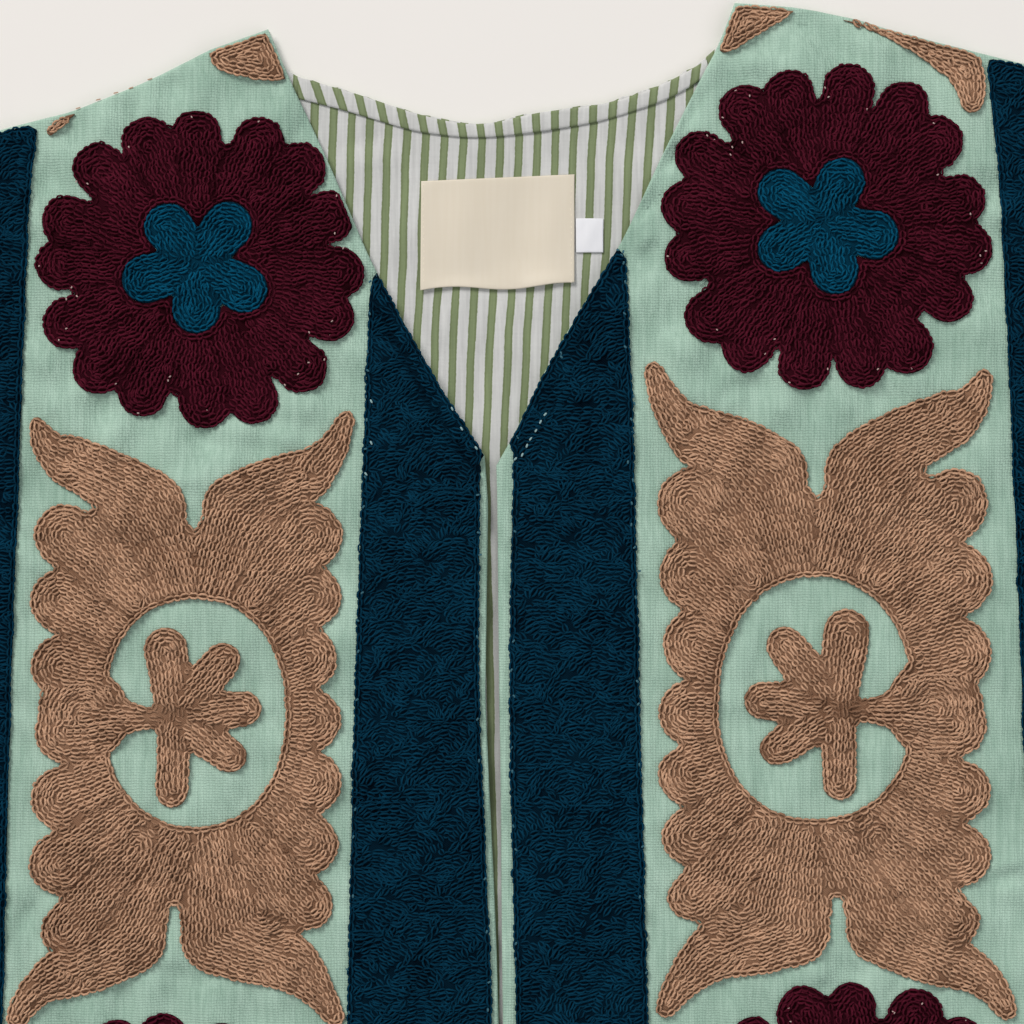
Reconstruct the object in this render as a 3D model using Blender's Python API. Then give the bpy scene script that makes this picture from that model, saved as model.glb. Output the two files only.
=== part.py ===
"""An embroidered wool jacket laid flat, face up, with its fronts meeting edge to edge.

The neck points to +Y and the hem to -Y. Left and right are the wearer's, so the left front is at +X.
The flat sizes below are in millimetres, and each mesh is scaled to metres when it is made.
"""

import math
from collections import namedtuple

import bmesh
import bpy
import numpy as np
from mathutils import Vector
from mathutils.geometry import delaunay_2d_cdt

for item in list(bpy.data.objects):
    bpy.data.objects.remove(item, do_unlink=True)

MM = 0.001

# Cloth, as wall thicknesses and the clearance kept at seams and between layers.
WOOL = 2.0
COTTON = 1.0
STITCH_PILE = 1.9
LABEL_WALL = 0.7
SEAM = 0.3
MOTIF_GAP = 0.6

# Heights of the layers that lie on each other.
LINING_LOW = WOOL + SEAM
BAND_LOW = LINING_LOW + COTTON + SEAM
FRONT_LOW = BAND_LOW + COTTON + SEAM
SEAM_LOW = WOOL + 1.5 * SEAM
SEAM_FALL = 13.0

# How finely the flat pieces are cut into triangles.
EDGE_STEP = 19.0
INNER_STEP = 34.0
FIELD_STEP = 1.5
BAND_FIELD_STEP = 4.0
OUTLINE_SLACK = 0.22
NEAR = 0.06

# The whole garment.
HEM_Y = -325.0
CUFF_X = 703.0
SLEEVE_WIDTH_AT_CUFF = 150.0

# Edges of each half, as points from the centre outwards or from the top down.
EDGES = {
    "right": {
        "shoulder": [(-110, 313), (-136, 303.5), (-163, 290.5), (-196, 277), (-226, 269), (-276, 256)],
        "armhole": [(-276, 256), (-282, 150), (-284, 40)],
        "side": [(-284, 40), (-291, -140), (-298, HEM_Y)],
        "hem": [(-298, HEM_Y), (-150, HEM_Y), (-3, HEM_Y)],
        "opening": [(-3, HEM_Y), (-6, -131), (-10.6, -17), (-11.7, 10), (-10.8, 100), (-12.2, 120.5)],
        "neck": [(-12.2, 120.5), (-32.5, 152), (-50.5, 184), (-63, 207.5), (-83, 253.5), (-100, 290), (-110, 313)],
        "cuff_drop": 22.0,
    },
    "left": {
        "shoulder": [(100.5, 325), (127, 323), (152, 318.5), (190, 307.5), (230, 298), (281, 286)],
        "armhole": [(281, 286), (286, 172), (288, 60)],
        "side": [(288, 60), (295, -130), (303, HEM_Y)],
        "hem": [(303, HEM_Y), (150, HEM_Y), (-0.8, HEM_Y)],
        "opening": [(-0.8, HEM_Y), (-4.3, -131), (-5.4, -17), (-5.9, 10), (-6.8, 100), (-7.2, 116)],
        "neck": [(-7.2, 116), (1.4, 131.5), (12.6, 154.5), (30.5, 186), (49.5, 217.5), (66.5, 253.5),
                 (84.5, 289.5), (93, 306), (100.5, 325)],
        "cuff_drop": 23.0,
    },
}
BACK_NECK = [(-110, 313), (-106, 299), (-97, 291.8), (-71.5, 284.5), (-38.5, 274), (-14.5, 270.5),
             (11.5, 275.5), (45, 280.5), (70, 289.5), (88, 299.5), (99, 313), (100.5, 325)]
NECK_BAND_SEAM = [(-97, 281.5), (-74, 275.5), (-52.5, 269), (-36.5, 265.5), (-12.5, 263.8), (21.5, 267.8),
                  (45, 272.5), (72, 282), (89.5, 292.5)]
LINING_INSET = 16.0
LINING_FROM_NECK = 0.6

# Where the embroidered bands run down each front: a row for each height.
BandRow = namedtuple("BandRow", "height inner outer side")
BANDS = {
    "right": [
        BandRow(290, -14.0, -62.0, -211.5),
        BandRow(236, -14.0, -63.0, -217.0),
        BandRow(146, -14.0, -66.2, -220.5),
        BandRow(10, -14.4, -71.1, -225.5),
        BandRow(-129, -9.0, -74.3, -229.0),
        BandRow(HEM_Y, -6.5, -79.0, -236.0),
    ],
    "left": [
        BandRow(310, 0.6, 46.0, 212.5),
        BandRow(236, 0.6, 50.0, 219.6),
        BandRow(146, 0.6, 54.5, 224.0),
        BandRow(10, -1.4, 57.6, 229.5),
        BandRow(-129, 1.4, 61.2, 234.0),
        BandRow(HEM_Y, 3.0, 66.0, 241.0),
    ],
}
BAND_MARGIN = 1.2
ROLL_WIDTH = {"right": 7.0, "left": 4.5}
ROLL_RISE = {"right": 1.3, "left": 0.5}
GROOVE_WIDTH = 2.0

# Rosettes: petals of stitching round a five-petalled flower.
PETALS = 16
PETAL_REACH = 74.5
PETAL_TIP = 11.8
PETAL_ROOT = 8.0
PETAL_BASE = 26.0
PETAL_MIDDLE = 57.5
PETAL_SWAY = 2.0
FLOWER_PETALS = 5
FLOWER_REACH = 33.0
FLOWER_TIP = 10.6
FLOWER_ROOT = 8.5
FLOWER_SHIFT = (-1.5, 2.0)
FLOWER_SWAY = 6.0
Rosette = namedtuple("Rosette", "side row x y width height petal_turn flower_turn")
ROSETTES = [
    Rosette("right", "upper", -140.5, 204.5, 1.02, 0.98, 0.0, 122.0),
    Rosette("left", "upper", 141.0, 222.8, 1.02, 1.01, -9.0, 137.0),
    Rosette("right", "lower", -152.0, -204.0, 1.0, 1.0, 3.0, 118.0),
    Rosette("left", "lower", 155.0, -190.0, 1.03, 1.02, 0.0, 132.0),
]

# Medallions: an oval ring with scallops down its sides, horns above and below, and a palmette within.
Medallion = namedtuple("Medallion", "side x y width up down")
MEDALLIONS = [
    Medallion("right", -142.7, 4.6, 1.0, 1.0, 1.0),
    Medallion("left", 136.5, 7.5, -1.07, 1.14, 0.99),
]
RING_HOLE = (40.5, 51.0)
RING_OUTER = (54.0, 70.0)
OVAL_FULLNESS = 2.2
SCALLOPS = 7
SCALLOP_TOP = 80.0
SCALLOP_PITCH = 28.7
SCALLOP_UNEVEN = 0.9
SCALLOP_REACH = 55.5
SCALLOP_SHIFT = -4.0
SCALLOP_BASE = 26.0
SCALLOP_LEAN = 0.62
SCALLOP_TIP = 14.2
SCALLOP_ROOT = 9.0
LAST_SCALLOP = 0.78
PALMETTE_HUB = (-9.4, -1.2)
PalmetteLobe = namedtuple("PalmetteLobe", "turn reach root tip")
PALMETTE = [
    PalmetteLobe(97.0, 30.2, 7.5, 10.0),
    PalmetteLobe(48.5, 33.5, 10.0, 8.0),
    PalmetteLobe(5.5, 31.6, 10.5, 8.0),
    PalmetteLobe(-35.5, 31.2, 10.0, 7.7),
    PalmetteLobe(-91.5, 34.4, 7.5, 7.3),
]

# A lobe is swept by discs from its base, round its bend, to its tip. Each horn is a full body and a slim tail.
Lobe = namedtuple("Lobe", "base bend tip base_radius tip_radius fullness")
HORNS = [
    Lobe((-20, 92), (-33, 104), (-57, 113.5), 16.5, 11.5, 1.0),
    Lobe((-59, 114.5), (-68, 119), (-71, 130), 10.0, 3.8, 1.0),
    Lobe((18.5, 92), (32, 101), (50, 107), 15.5, 12.0, 1.0),
    Lobe((54, 110), (63, 117), (68, 132.5), 10.0, 4.2, 1.0),
    Lobe((-29, -101), (-46, -113), (-61, -118), 16.5, 11.0, 1.0),
    Lobe((-60, -118), (-73, -122), (-80.5, -138), 11.0, 4.8, 1.0),
    Lobe((11, -101), (24, -107), (42, -111.5), 17.5, 13.0, 1.0),
    Lobe((42, -112), (53, -119), (63, -137.5), 13.0, 4.6, 1.0),
]
KNOTS = [
    Lobe((-12, 73), (0, 73), (10, 73), 9.0, 9.0, 1.0),
    Lobe((-10, 78), (-9, 79), (-8, 81), 8.0, 7.0, 1.0),
    Lobe((9, 78), (8, 79), (7, 81), 8.0, 7.0, 1.0),
    Lobe((-44, 87), (-34, 79), (-20, 68), 5.5, 9.0, 1.0),
    Lobe((40, 89), (30, 80), (20, 70), 5.5, 9.0, 1.0),
    Lobe((-30, -78), (3, -73), (28, -76), 11.0, 11.0, 1.0),
    Lobe((-22, -86), (-21, -88), (-19, -91), 9.0, 8.0, 1.0),
    Lobe((3, -86), (2, -88), (0.5, -91), 9.0, 8.0, 1.0),
    Lobe((24, -84), (34, -88), (45, -93), 9.0, 6.5, 1.0),
]
STEM = Lobe((-50, -1), (-34, -2), (-15, -2.5), 21.0, 3.6, 0.45)
NECK_LEAVES = {
    "right": [Lobe((-125, 304.5), (-115, 303), (-106, 302.5), 12.5, 13.8, 1.0)],
    "left": [Lobe((120, 332), (106, 318), (96, 306), 14.0, 4.5, 1.0)],
}
SHOULDER_LEAVES = {
    "right": [Lobe((-208, 266.2), (-203, 270.5), (-197, 276), 2.3, 1.7, 1.0)],
    "left": [Lobe((147, 319), (176, 312), (200, 298), 2.0, 8.5, 1.3),
             Lobe((203, 296), (207, 288), (206.8, 279.8), 8.6, 5.9, 1.0)],
}
LEAF_MARGIN = 1.0

# Soft folds in the upper layer: a row for each, with its middle, direction in degrees, and sizes.
Fold = namedtuple("Fold", "x y turn length width rise")
FOLDS = {
    "front_right": [
        Fold(-118, 118, 172, 100, 17, 2.4),
        Fold(-205, -70, 62, 120, 18, 2.6),
        Fold(-100, -130, 118, 110, 16, 2.2),
        Fold(-185, -300, 84, 60, 18, 2.4),
    ],
    "front_left": [
        Fold(80, 252, 62, 74, 11, 2.6),
        Fold(172, 0, 86, 110, 14, 2.6),
        Fold(98, 152, 28, 90, 15, 2.2),
        Fold(165, -118, 8, 110, 15, 2.4),
        Fold(120, -295, 96, 60, 18, 2.4),
    ],
    "top_sleeve_right": [
        Fold(-345, 130, 250, 120, 20, 3.6),
        Fold(-440, 120, 215, 130, 22, 3.2),
        Fold(-585, 60, 230, 90, 20, 3.0),
    ],
    "top_sleeve_left": [
        Fold(350, 155, 292, 120, 20, 3.6),
        Fold(455, 135, 322, 130, 22, 3.2),
        Fold(590, 88, 300, 90, 20, 3.0),
    ],
}
FOLD_STEPS = 4

# The label and the size tab, as corners from the top left, clockwise.
LABEL = [(-41.0, 244.4), (28.2, 247.5), (28.2, 197.6), (-41.4, 195.0)]
LABEL_WAVE = 1.1
LABEL_CURL = 1.6
SIZE_TAB = [(28.9, 227.6), (41.2, 227.6), (41.2, 212.2), (28.9, 212.2)]

# Colour and roughness of each finish.
FINISHES = {
    "mint_wool": ((0.36, 0.52, 0.42), 0.95),
    "striped_cotton": ((0.66, 0.68, 0.56), 0.9),
    "teal_yarn": ((0.003, 0.035, 0.068), 0.9),
    "maroon_yarn": ((0.055, 0.006, 0.012), 0.9),
    "blue_yarn": ((0.004, 0.065, 0.12), 0.9),
    "tan_yarn": ((0.42, 0.25, 0.15), 0.9),
    "satin": ((0.74, 0.65, 0.52), 0.5),
    "white_tape": ((0.8, 0.79, 0.8), 0.7),
}


def smooth_line(points, step):
    """A smooth curve through the points, with a point about every step and its ends kept."""
    points = np.array(points, float)
    before = 2 * points[0] - points[1]
    after = 2 * points[-1] - points[-2]
    padded = np.vstack([before, points, after])
    line = []
    for p0, p1, p2, p3 in zip(padded, padded[1:], padded[2:], padded[3:]):
        count = max(1, round(np.linalg.norm(p2 - p1) / step))
        for t in np.arange(count) / count:
            line.append(0.5 * (2 * p1 + (p2 - p0) * t + (2 * p0 - 5 * p1 + 4 * p2 - p3) * t**2
                               + (3 * p1 - p0 - 3 * p2 + p3) * t**3))
    line.append(points[-1])
    return np.array(line)


def run_together(*lines):
    """One closed outline from edges that follow each other, turned so that it runs anticlockwise."""
    loop = np.vstack([line[:-1] for line in lines])
    x, y = loop.T
    area = (x * np.roll(y, -1) - y * np.roll(x, -1)).sum()
    return loop if area > 0 else loop[::-1]


def distance_to(points, line):
    """The distance from each point to a line of joined points."""
    points = np.asarray(points, float)
    best = np.full(points.shape[:-1], np.inf)
    for start, end in zip(line[:-1], line[1:]):
        along = end - start
        share = np.clip(((points - start) @ along) / (along @ along), 0, 1)
        nearest = start + share[..., None] * along
        best = np.minimum(best, np.linalg.norm(points - nearest, axis=-1))
    return best


def within(points, loops):
    """True for each point that lies inside the loops, with a loop inside another as its hole."""
    points = np.asarray(points, float)
    x = points[..., 0]
    y = points[..., 1]
    inside = np.zeros(x.shape, bool)
    for loop in loops:
        for (x0, y0), (x1, y1) in zip(loop, np.roll(loop, -1, axis=0)):
            if y0 == y1:
                continue
            crosses = (y0 > y) != (y1 > y)
            inside ^= crosses & (x < (x1 - x0) * (y - y0) / (y1 - y0) + x0)
    return inside


def depth_in(points, outline):
    """How far inside the outline each point is, and less than nothing outside it."""
    away = distance_to(points, np.vstack([outline, outline[:1]]))
    return np.where(within(points, [outline]), away, -away)


def depth_in_lobe(points, lobe):
    """How far inside a lobe each point is."""
    base, bend, tip = (np.array(p, float) for p in lobe[:3])
    steps = 4 + round(np.linalg.norm(tip - base) / 2.5)
    t = np.linspace(0, 1, steps)[:, None]
    line = (1 - t) ** 2 * base + 2 * (1 - t) * t * bend + t**2 * tip
    radius = lobe.base_radius + (lobe.tip_radius - lobe.base_radius) * t[:, 0] ** lobe.fullness
    best = np.full(points.shape[:-1], -np.inf)
    for centre, reach in zip(line, radius):
        best = np.maximum(best, reach - np.linalg.norm(points - centre, axis=-1))
    return best


def depth_in_lobes(points, lobes):
    return np.max([depth_in_lobe(points, lobe) for lobe in lobes], axis=0)


def thinned(loop, slack):
    """The loop with the points dropped that lie within slack of the line between their neighbours."""
    def keep(first, last):
        if last - first < 2:
            return []
        chord = loop[last % len(loop)] - loop[first]
        size = max(np.linalg.norm(chord), 1e-9)
        between = loop[first + 1:last] - loop[first]
        off = np.abs(chord[0] * between[:, 1] - chord[1] * between[:, 0]) / size
        far = int(off.argmax())
        if off[far] < slack:
            return []
        middle = first + 1 + far
        return keep(first, middle) + [middle] + keep(middle, last)

    half = int(np.linalg.norm(loop - loop[0], axis=1).argmax())
    return loop[[0] + keep(0, half) + [half] + keep(half, len(loop))]


def outline_of(depth, low, high, step, slack=OUTLINE_SLACK):
    """The closed outlines where depth is nothing, with the inside on their left."""
    xs = np.arange(low[0], high[0] + step, step)
    ys = np.arange(low[1], high[1] + step, step)
    field = depth(np.stack(np.meshgrid(xs, ys, indexing="ij"), axis=-1))
    field = np.where(np.abs(field) < 1e-4, 1e-4, field)
    inside = field > 0
    mixed = inside[:-1, :-1].astype(int) + inside[1:, :-1] + inside[1:, 1:] + inside[:-1, 1:]
    after = {}
    place = {}
    for i, j in zip(*np.nonzero((mixed > 0) & (mixed < 4))):
        corners = [(i, j), (i + 1, j), (i + 1, j + 1), (i, j + 1)]
        sides = [("across", i, j), ("up", i + 1, j), ("across", i, j + 1), ("up", i, j)]
        crossed = []
        for turn in range(4):
            a = corners[turn]
            b = corners[(turn + 1) % 4]
            if inside[a] == inside[b]:
                continue
            share = field[a] / (field[a] - field[b])
            start = np.array([xs[a[0]], ys[a[1]]])
            end = np.array([xs[b[0]], ys[b[1]]])
            place[sides[turn]] = start + share * (end - start)
            crossed.append((sides[turn], bool(inside[a])))
        joined = sum(field[c] for c in corners) > 0
        for k, (key, leaving) in enumerate(crossed):
            if leaving:
                after[key] = crossed[(k + (1 if joined else -1)) % len(crossed)][0]
    loops = []
    while after:
        first = next(iter(after))
        loop = []
        key = first
        while key in after:
            loop.append(place[key])
            key = after.pop(key)
        loops.append(thinned(np.array(loop), slack))
    return [loop for loop in loops if len(loop) > 3]


def triangulated(loops, lines=(), spots=()):
    """Points and triangles that fill the loops, cut along the lines and through the spots."""
    points = []
    cuts = []
    for loop in loops:
        first = len(points)
        points.extend(loop)
        cuts.extend((first + k, first + (k + 1) % len(loop)) for k in range(len(loop)))
    for line in lines:
        first = len(points)
        points.extend(line)
        cuts.extend((first + k, first + k + 1) for k in range(len(line) - 1))
    points.extend(spots)
    placed, _, faces, _, _, _ = delaunay_2d_cdt([Vector((float(x), float(y))) for x, y in points],
                                                cuts, [], 0, NEAR)
    placed = np.array([tuple(p) for p in placed])
    faces = np.array([tuple(f) for f in faces])
    faces = faces[within(placed[faces].mean(axis=1), loops)]
    a, b, c = (placed[faces[:, k]] for k in range(3))
    turned = (b[:, 0] - a[:, 0]) * (c[:, 1] - a[:, 1]) < (b[:, 1] - a[:, 1]) * (c[:, 0] - a[:, 0])
    faces[turned] = faces[turned][:, ::-1]
    used, renumbered = np.unique(faces, return_inverse=True)
    return placed[used], renumbered.reshape(-1, 3)


def boundary_edges(faces):
    directed = {(a, b) for face in faces for a, b in zip(face, np.roll(face, -1))}
    return [(a, b) for a, b in directed if (b, a) not in directed]


def finish_of(name):
    finish = bpy.data.materials.get(name) or bpy.data.materials.new(name)
    finish.use_nodes = True
    colour, roughness = FINISHES[name]
    shader = finish.node_tree.nodes["Principled BSDF"]
    shader.inputs["Base Color"].default_value = (*colour, 1)
    shader.inputs["Roughness"].default_value = roughness
    shader.inputs["Metallic"].default_value = 0
    return finish


def closed_wall(name, flat, faces, low, high, finish):
    """A closed wall over flat triangles, between its lower and upper heights at each point."""
    count = len(flat)
    low = np.broadcast_to(np.asarray(low, float), count)
    high = np.broadcast_to(np.asarray(high, float), count)
    points = [(x, y, z) for (x, y), z in zip(flat, low)] + [(x, y, z) for (x, y), z in zip(flat, high)]
    mesh = bmesh.new()
    corners = [mesh.verts.new(Vector(p) * MM) for p in points]
    for a, b, c in faces:
        mesh.faces.new((corners[a + count], corners[b + count], corners[c + count]))
        mesh.faces.new((corners[c], corners[b], corners[a]))
    for a, b in sorted(boundary_edges(faces)):
        mesh.faces.new((corners[a], corners[b], corners[b + count], corners[a + count]))
    data = bpy.data.meshes.new(name)
    mesh.to_mesh(data)
    mesh.free()
    data.shade_smooth()
    data.set_sharp_from_angle(angle=math.radians(35))
    data.materials.append(finish_of(finish))
    made = bpy.data.objects.new(name, data)
    bpy.context.scene.collection.objects.link(made)
    return made


def fold_rise(points, folds):
    """How far the folds lift the cloth at each point."""
    rise = np.zeros(len(points))
    for fold in folds:
        turn = math.radians(fold.turn)
        along = (points - (fold.x, fold.y)) @ np.array([math.cos(turn), math.sin(turn)])
        across = (points - (fold.x, fold.y)) @ np.array([-math.sin(turn), math.cos(turn)])
        length_share = np.clip(1 - np.abs(2 * along / fold.length), 0, 1)
        width_share = np.clip(1 - np.abs(across / fold.width), 0, 1)
        rise += fold.rise * np.sqrt(length_share) * width_share
    return rise


def fold_lines(fold):
    """The crest of a fold and its two feet, for the cloth to bend along."""
    turn = math.radians(fold.turn)
    along = np.array([math.cos(turn), math.sin(turn)])
    across = np.array([-math.sin(turn), math.cos(turn)])
    lines = []
    for offset in (-fold.width, 0, fold.width):
        reach = np.linspace(-0.5, 0.5, FOLD_STEPS + 1) * fold.length
        lines.append(np.array([fold.x, fold.y]) + reach[:, None] * along + offset * across)
    return lines


class UpperPanel:
    """A cloth panel of the upper layer. It comes down to the layer below along its sewn edges."""

    def __init__(self, name, outline, sewn):
        self.name = name
        self.outline = outline
        self.sewn = sewn
        self.folds = FOLDS[name]
        low = outline.min(axis=0)
        high = outline.max(axis=0)
        ring = outline_of(lambda p: depth_in(p, outline) - SEAM_FALL, low, high, 4.0, 1.0)
        lines = [np.vstack([loop, loop[:1]]) for loop in ring]
        for fold in self.folds:
            for line in fold_lines(fold):
                held = depth_in(line, outline) > SEAM_FALL + 2
                lines.extend(line[k:k + 2] for k in range(len(line) - 1) if held[k] and held[k + 1])
        grid = np.stack(np.meshgrid(np.arange(low[0], high[0], INNER_STEP),
                                    np.arange(low[1], high[1], INNER_STEP)), axis=-1).reshape(-1, 2)
        clear = depth_in(grid, outline) > SEAM_FALL + 0.4 * INNER_STEP
        for line in lines:
            clear &= distance_to(grid, line) > 0.3 * INNER_STEP
        self.flat, self.faces = triangulated([outline], lines, grid[clear])
        self.low = self.height_at_corner(self.flat)
        edges = {tuple(sorted((int(a), int(b)))) for f in self.faces for a, b in zip(f, np.roll(f, -1))}
        self.cuts = [self.flat[list(edge)] for edge in sorted(edges)]
        closed_wall(name, self.flat, self.faces, self.low, self.low + WOOL, "mint_wool")

    def height_at_corner(self, points):
        share = np.clip(np.min([distance_to(points, line) for line in self.sewn], axis=0) / SEAM_FALL, 0, 1)
        return SEAM_LOW + (FRONT_LOW - SEAM_LOW) * share + fold_rise(points, self.folds) * share

    def height(self, points):
        """The height of the panel's underside, flat across each of its triangles."""
        a, b, c = (self.flat[self.faces[:, k]] for k in range(3))
        za, zb, zc = (self.low[self.faces[:, k]] for k in range(3))
        ab = b - a
        ac = c - a
        area = ab[:, 0] * ac[:, 1] - ab[:, 1] * ac[:, 0]
        heights = []
        for point in points:
            ap = point - a
            to_b = (ap[:, 0] * ac[:, 1] - ap[:, 1] * ac[:, 0]) / area
            to_c = (ab[:, 0] * ap[:, 1] - ab[:, 1] * ap[:, 0]) / area
            k = int(np.minimum(np.minimum(to_b, to_c), 1 - to_b - to_c).argmax())
            heights.append(za[k] + to_b[k] * (zb[k] - za[k]) + to_c[k] * (zc[k] - za[k]))
        return np.array(heights)

    def lay(self, name, depth, low, high, finish, step=FIELD_STEP, lines=(), rise=None):
        """Lays a piece of stitching on the panel, made from the panel's own points moved out."""
        loops = outline_of(depth, np.array(low, float), np.array(high, float), step)
        reach_low = np.min([loop.min(axis=0) for loop in loops], axis=0)
        reach_high = np.max([loop.max(axis=0) for loop in loops], axis=0)
        near = [cut for cut in self.cuts
                if (cut.max(axis=0) > reach_low).all() and (cut.min(axis=0) < reach_high).all()]
        flat, faces = triangulated(loops, near + list(lines))
        under = self.height(flat) + WOOL + SEAM
        proud = STITCH_PILE if rise is None else STITCH_PILE + rise(flat)
        closed_wall(name, flat, faces, under, under + proud, finish)


def band_reach(side, column, y):
    """Where a band's edge lies across the front at each height."""
    rows = sorted(BANDS[side])
    return np.interp(y, [row.height for row in rows], [getattr(row, column) for row in rows])


def rosette_lobes(rosette):
    """The petals of one rosette, each a little uneven as they are by hand."""
    lobes = []
    for k in range(PETALS):
        sway = PETAL_SWAY * math.sin(2.4 * k + rosette.x)
        turn = math.radians(360 / PETALS * k + rosette.petal_turn + sway)
        reach = PETAL_REACH * (1 + 0.022 * math.sin(1.7 * k + rosette.x)) - PETAL_TIP
        tip = PETAL_TIP * (1 + 0.05 * math.sin(3.1 * k + rosette.y))
        base = (rosette.x + PETAL_BASE * math.cos(turn), rosette.y + PETAL_BASE * math.sin(turn))
        end = (rosette.x + rosette.width * reach * math.cos(turn),
               rosette.y + rosette.height * reach * math.sin(turn))
        middle = ((base[0] + end[0]) / 2, (base[1] + end[1]) / 2)
        lobes.append(Lobe(base, middle, end, PETAL_ROOT, tip, 1.0))
    return lobes


def flower_lobes(rosette):
    """The petals of the flower in a rosette's middle."""
    lobes = []
    centre = (rosette.x + FLOWER_SHIFT[0], rosette.y + FLOWER_SHIFT[1])
    for k in range(FLOWER_PETALS):
        sway = FLOWER_SWAY * math.sin(2.0 * k + 1)
        turn = math.radians(rosette.flower_turn - 360 / FLOWER_PETALS * k + sway)
        reach = FLOWER_REACH * (1 + 0.06 * math.sin(2.3 * k + rosette.x)) - FLOWER_TIP
        end = (centre[0] + reach * math.cos(turn), centre[1] + reach * math.sin(turn))
        middle = ((centre[0] + end[0]) / 2, (centre[1] + end[1]) / 2)
        lobes.append(Lobe(centre, middle, end, FLOWER_ROOT, FLOWER_TIP, 1.0))
    return lobes


def depth_in_rosette(points, rosette):
    """How far inside a rosette each point is, its flower included."""
    centre = PETAL_MIDDLE - np.linalg.norm(points - (rosette.x, rosette.y), axis=-1)
    return np.maximum(centre, depth_in_lobes(points, rosette_lobes(rosette)))


def scallop_lobes():
    """The rounded lobes down both sides of a medallion, fanned out from its ring."""
    lobes = []
    for k in range(SCALLOPS):
        for hand in (-1, 1):
            y = SCALLOP_TOP - (SCALLOP_PITCH - SCALLOP_UNEVEN * hand) * k
            reach = SCALLOP_REACH + 1.2 * math.sin(1.9 * k + hand)
            tip = (hand * reach + SCALLOP_SHIFT, y)
            base = (hand * SCALLOP_BASE, SCALLOP_LEAN * y)
            middle = ((base[0] + tip[0]) / 2, (base[1] + tip[1]) / 2)
            radius = SCALLOP_TIP * (LAST_SCALLOP if k == SCALLOPS - 1 else 1)
            lobes.append(Lobe(base, middle, tip, SCALLOP_ROOT, radius, 0.7))
    return lobes


def palmette_lobes():
    """The lobes that fan out from the palmette's hub."""
    lobes = []
    for row in PALMETTE:
        turn = math.radians(row.turn)
        end = (PALMETTE_HUB[0] + row.reach * math.cos(turn), PALMETTE_HUB[1] + row.reach * math.sin(turn))
        middle = ((PALMETTE_HUB[0] + end[0]) / 2, (PALMETTE_HUB[1] + end[1]) / 2)
        lobes.append(Lobe(PALMETTE_HUB, middle, end, row.root, row.tip, 1.0))
    return lobes


def depth_in_oval(points, reach):
    """Roughly how far inside a full oval about the middle each point is."""
    scaled = (np.abs(points / reach) ** OVAL_FULLNESS).sum(axis=-1) ** (1 / OVAL_FULLNESS)
    return (1 - scaled) * min(reach)


def depth_in_medallion(points, medallion):
    """How far inside a medallion's stitching each point is."""
    local = points - (medallion.x, medallion.y)
    local = local / np.stack([np.full(local.shape[:-1], medallion.width),
                              np.where(local[..., 1] > 0, medallion.up, medallion.down)], axis=-1)
    lobes = scallop_lobes() + HORNS + KNOTS
    around = np.maximum(depth_in_oval(local, RING_OUTER), depth_in_lobes(local, lobes))
    ring = np.minimum(around, -depth_in_oval(local, RING_HOLE))
    return np.maximum(ring, depth_in_lobes(local, palmette_lobes() + [STEM]))


def side_edges(side):
    return {edge: smooth_line(points, EDGE_STEP) for edge, points in EDGES[side].items()
            if edge != "cuff_drop"}


def sleeve_edges(side, hand):
    """The top fold, cuff and underarm seam of a sleeve, worked out from the shoulder and the cuff's place."""
    shoulder_end = np.array(EDGES[side]["armhole"][0], float)
    underarm = np.array(EDGES[side]["armhole"][-1], float)
    drop = math.radians(EDGES[side]["cuff_drop"])
    run = CUFF_X - abs(shoulder_end[0])
    cuff_top = shoulder_end + (hand * run, -run * math.tan(drop))
    cuff_low = cuff_top + SLEEVE_WIDTH_AT_CUFF * np.array([-hand * math.sin(drop), -math.cos(drop)])
    top = smooth_line([shoulder_end, (shoulder_end + cuff_top) / 2 + (0, 3), cuff_top], 2 * EDGE_STEP)
    cuff = smooth_line([cuff_top, cuff_low], 2 * EDGE_STEP)
    under = smooth_line([cuff_low, (cuff_low + underarm) / 2 + (0, 6), underarm], 2 * EDGE_STEP)
    return top, cuff, under


def parted(outline, gap):
    """The outline drawn in all round by the gap."""
    low = outline.min(axis=0) - 1
    high = outline.max(axis=0) + 1
    before = np.roll(outline, 1, axis=0)
    after = np.roll(outline, -1, axis=0)
    into = outline - before
    out = after - outline
    into /= np.linalg.norm(into, axis=1)[:, None]
    out /= np.linalg.norm(out, axis=1)[:, None]
    inward = np.stack([-(into + out)[:, 1], (into + out)[:, 0]], axis=1)
    inward /= np.linalg.norm(inward, axis=1)[:, None]
    return np.clip(outline + gap * inward, low, high)


def make_fronts():
    """Both fronts of the body, by side."""
    fronts = {}
    for side in EDGES:
        edge = side_edges(side)
        outline = run_together(edge["shoulder"], edge["armhole"], edge["side"], edge["hem"],
                               edge["opening"], edge["neck"])
        sewn = [edge["shoulder"], edge["side"], edge["hem"]]
        fronts[side] = UpperPanel("front_" + side, parted(outline, SEAM / 2), sewn)
    return fronts


def make_sleeves():
    """A top sleeve over an under sleeve on each side."""
    for side, hand in (("right", -1), ("left", 1)):
        armhole = side_edges(side)["armhole"]
        top, cuff, under = sleeve_edges(side, hand)
        outline = run_together(top, cuff, under, armhole[::-1])
        outline = parted(outline, SEAM / 2)
        UpperPanel("top_sleeve_" + side, outline, [top, cuff, under])
        flat, faces = triangulated([outline])
        closed_wall("under_sleeve_" + side, flat, faces, 0, WOOL, "mint_wool")


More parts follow.
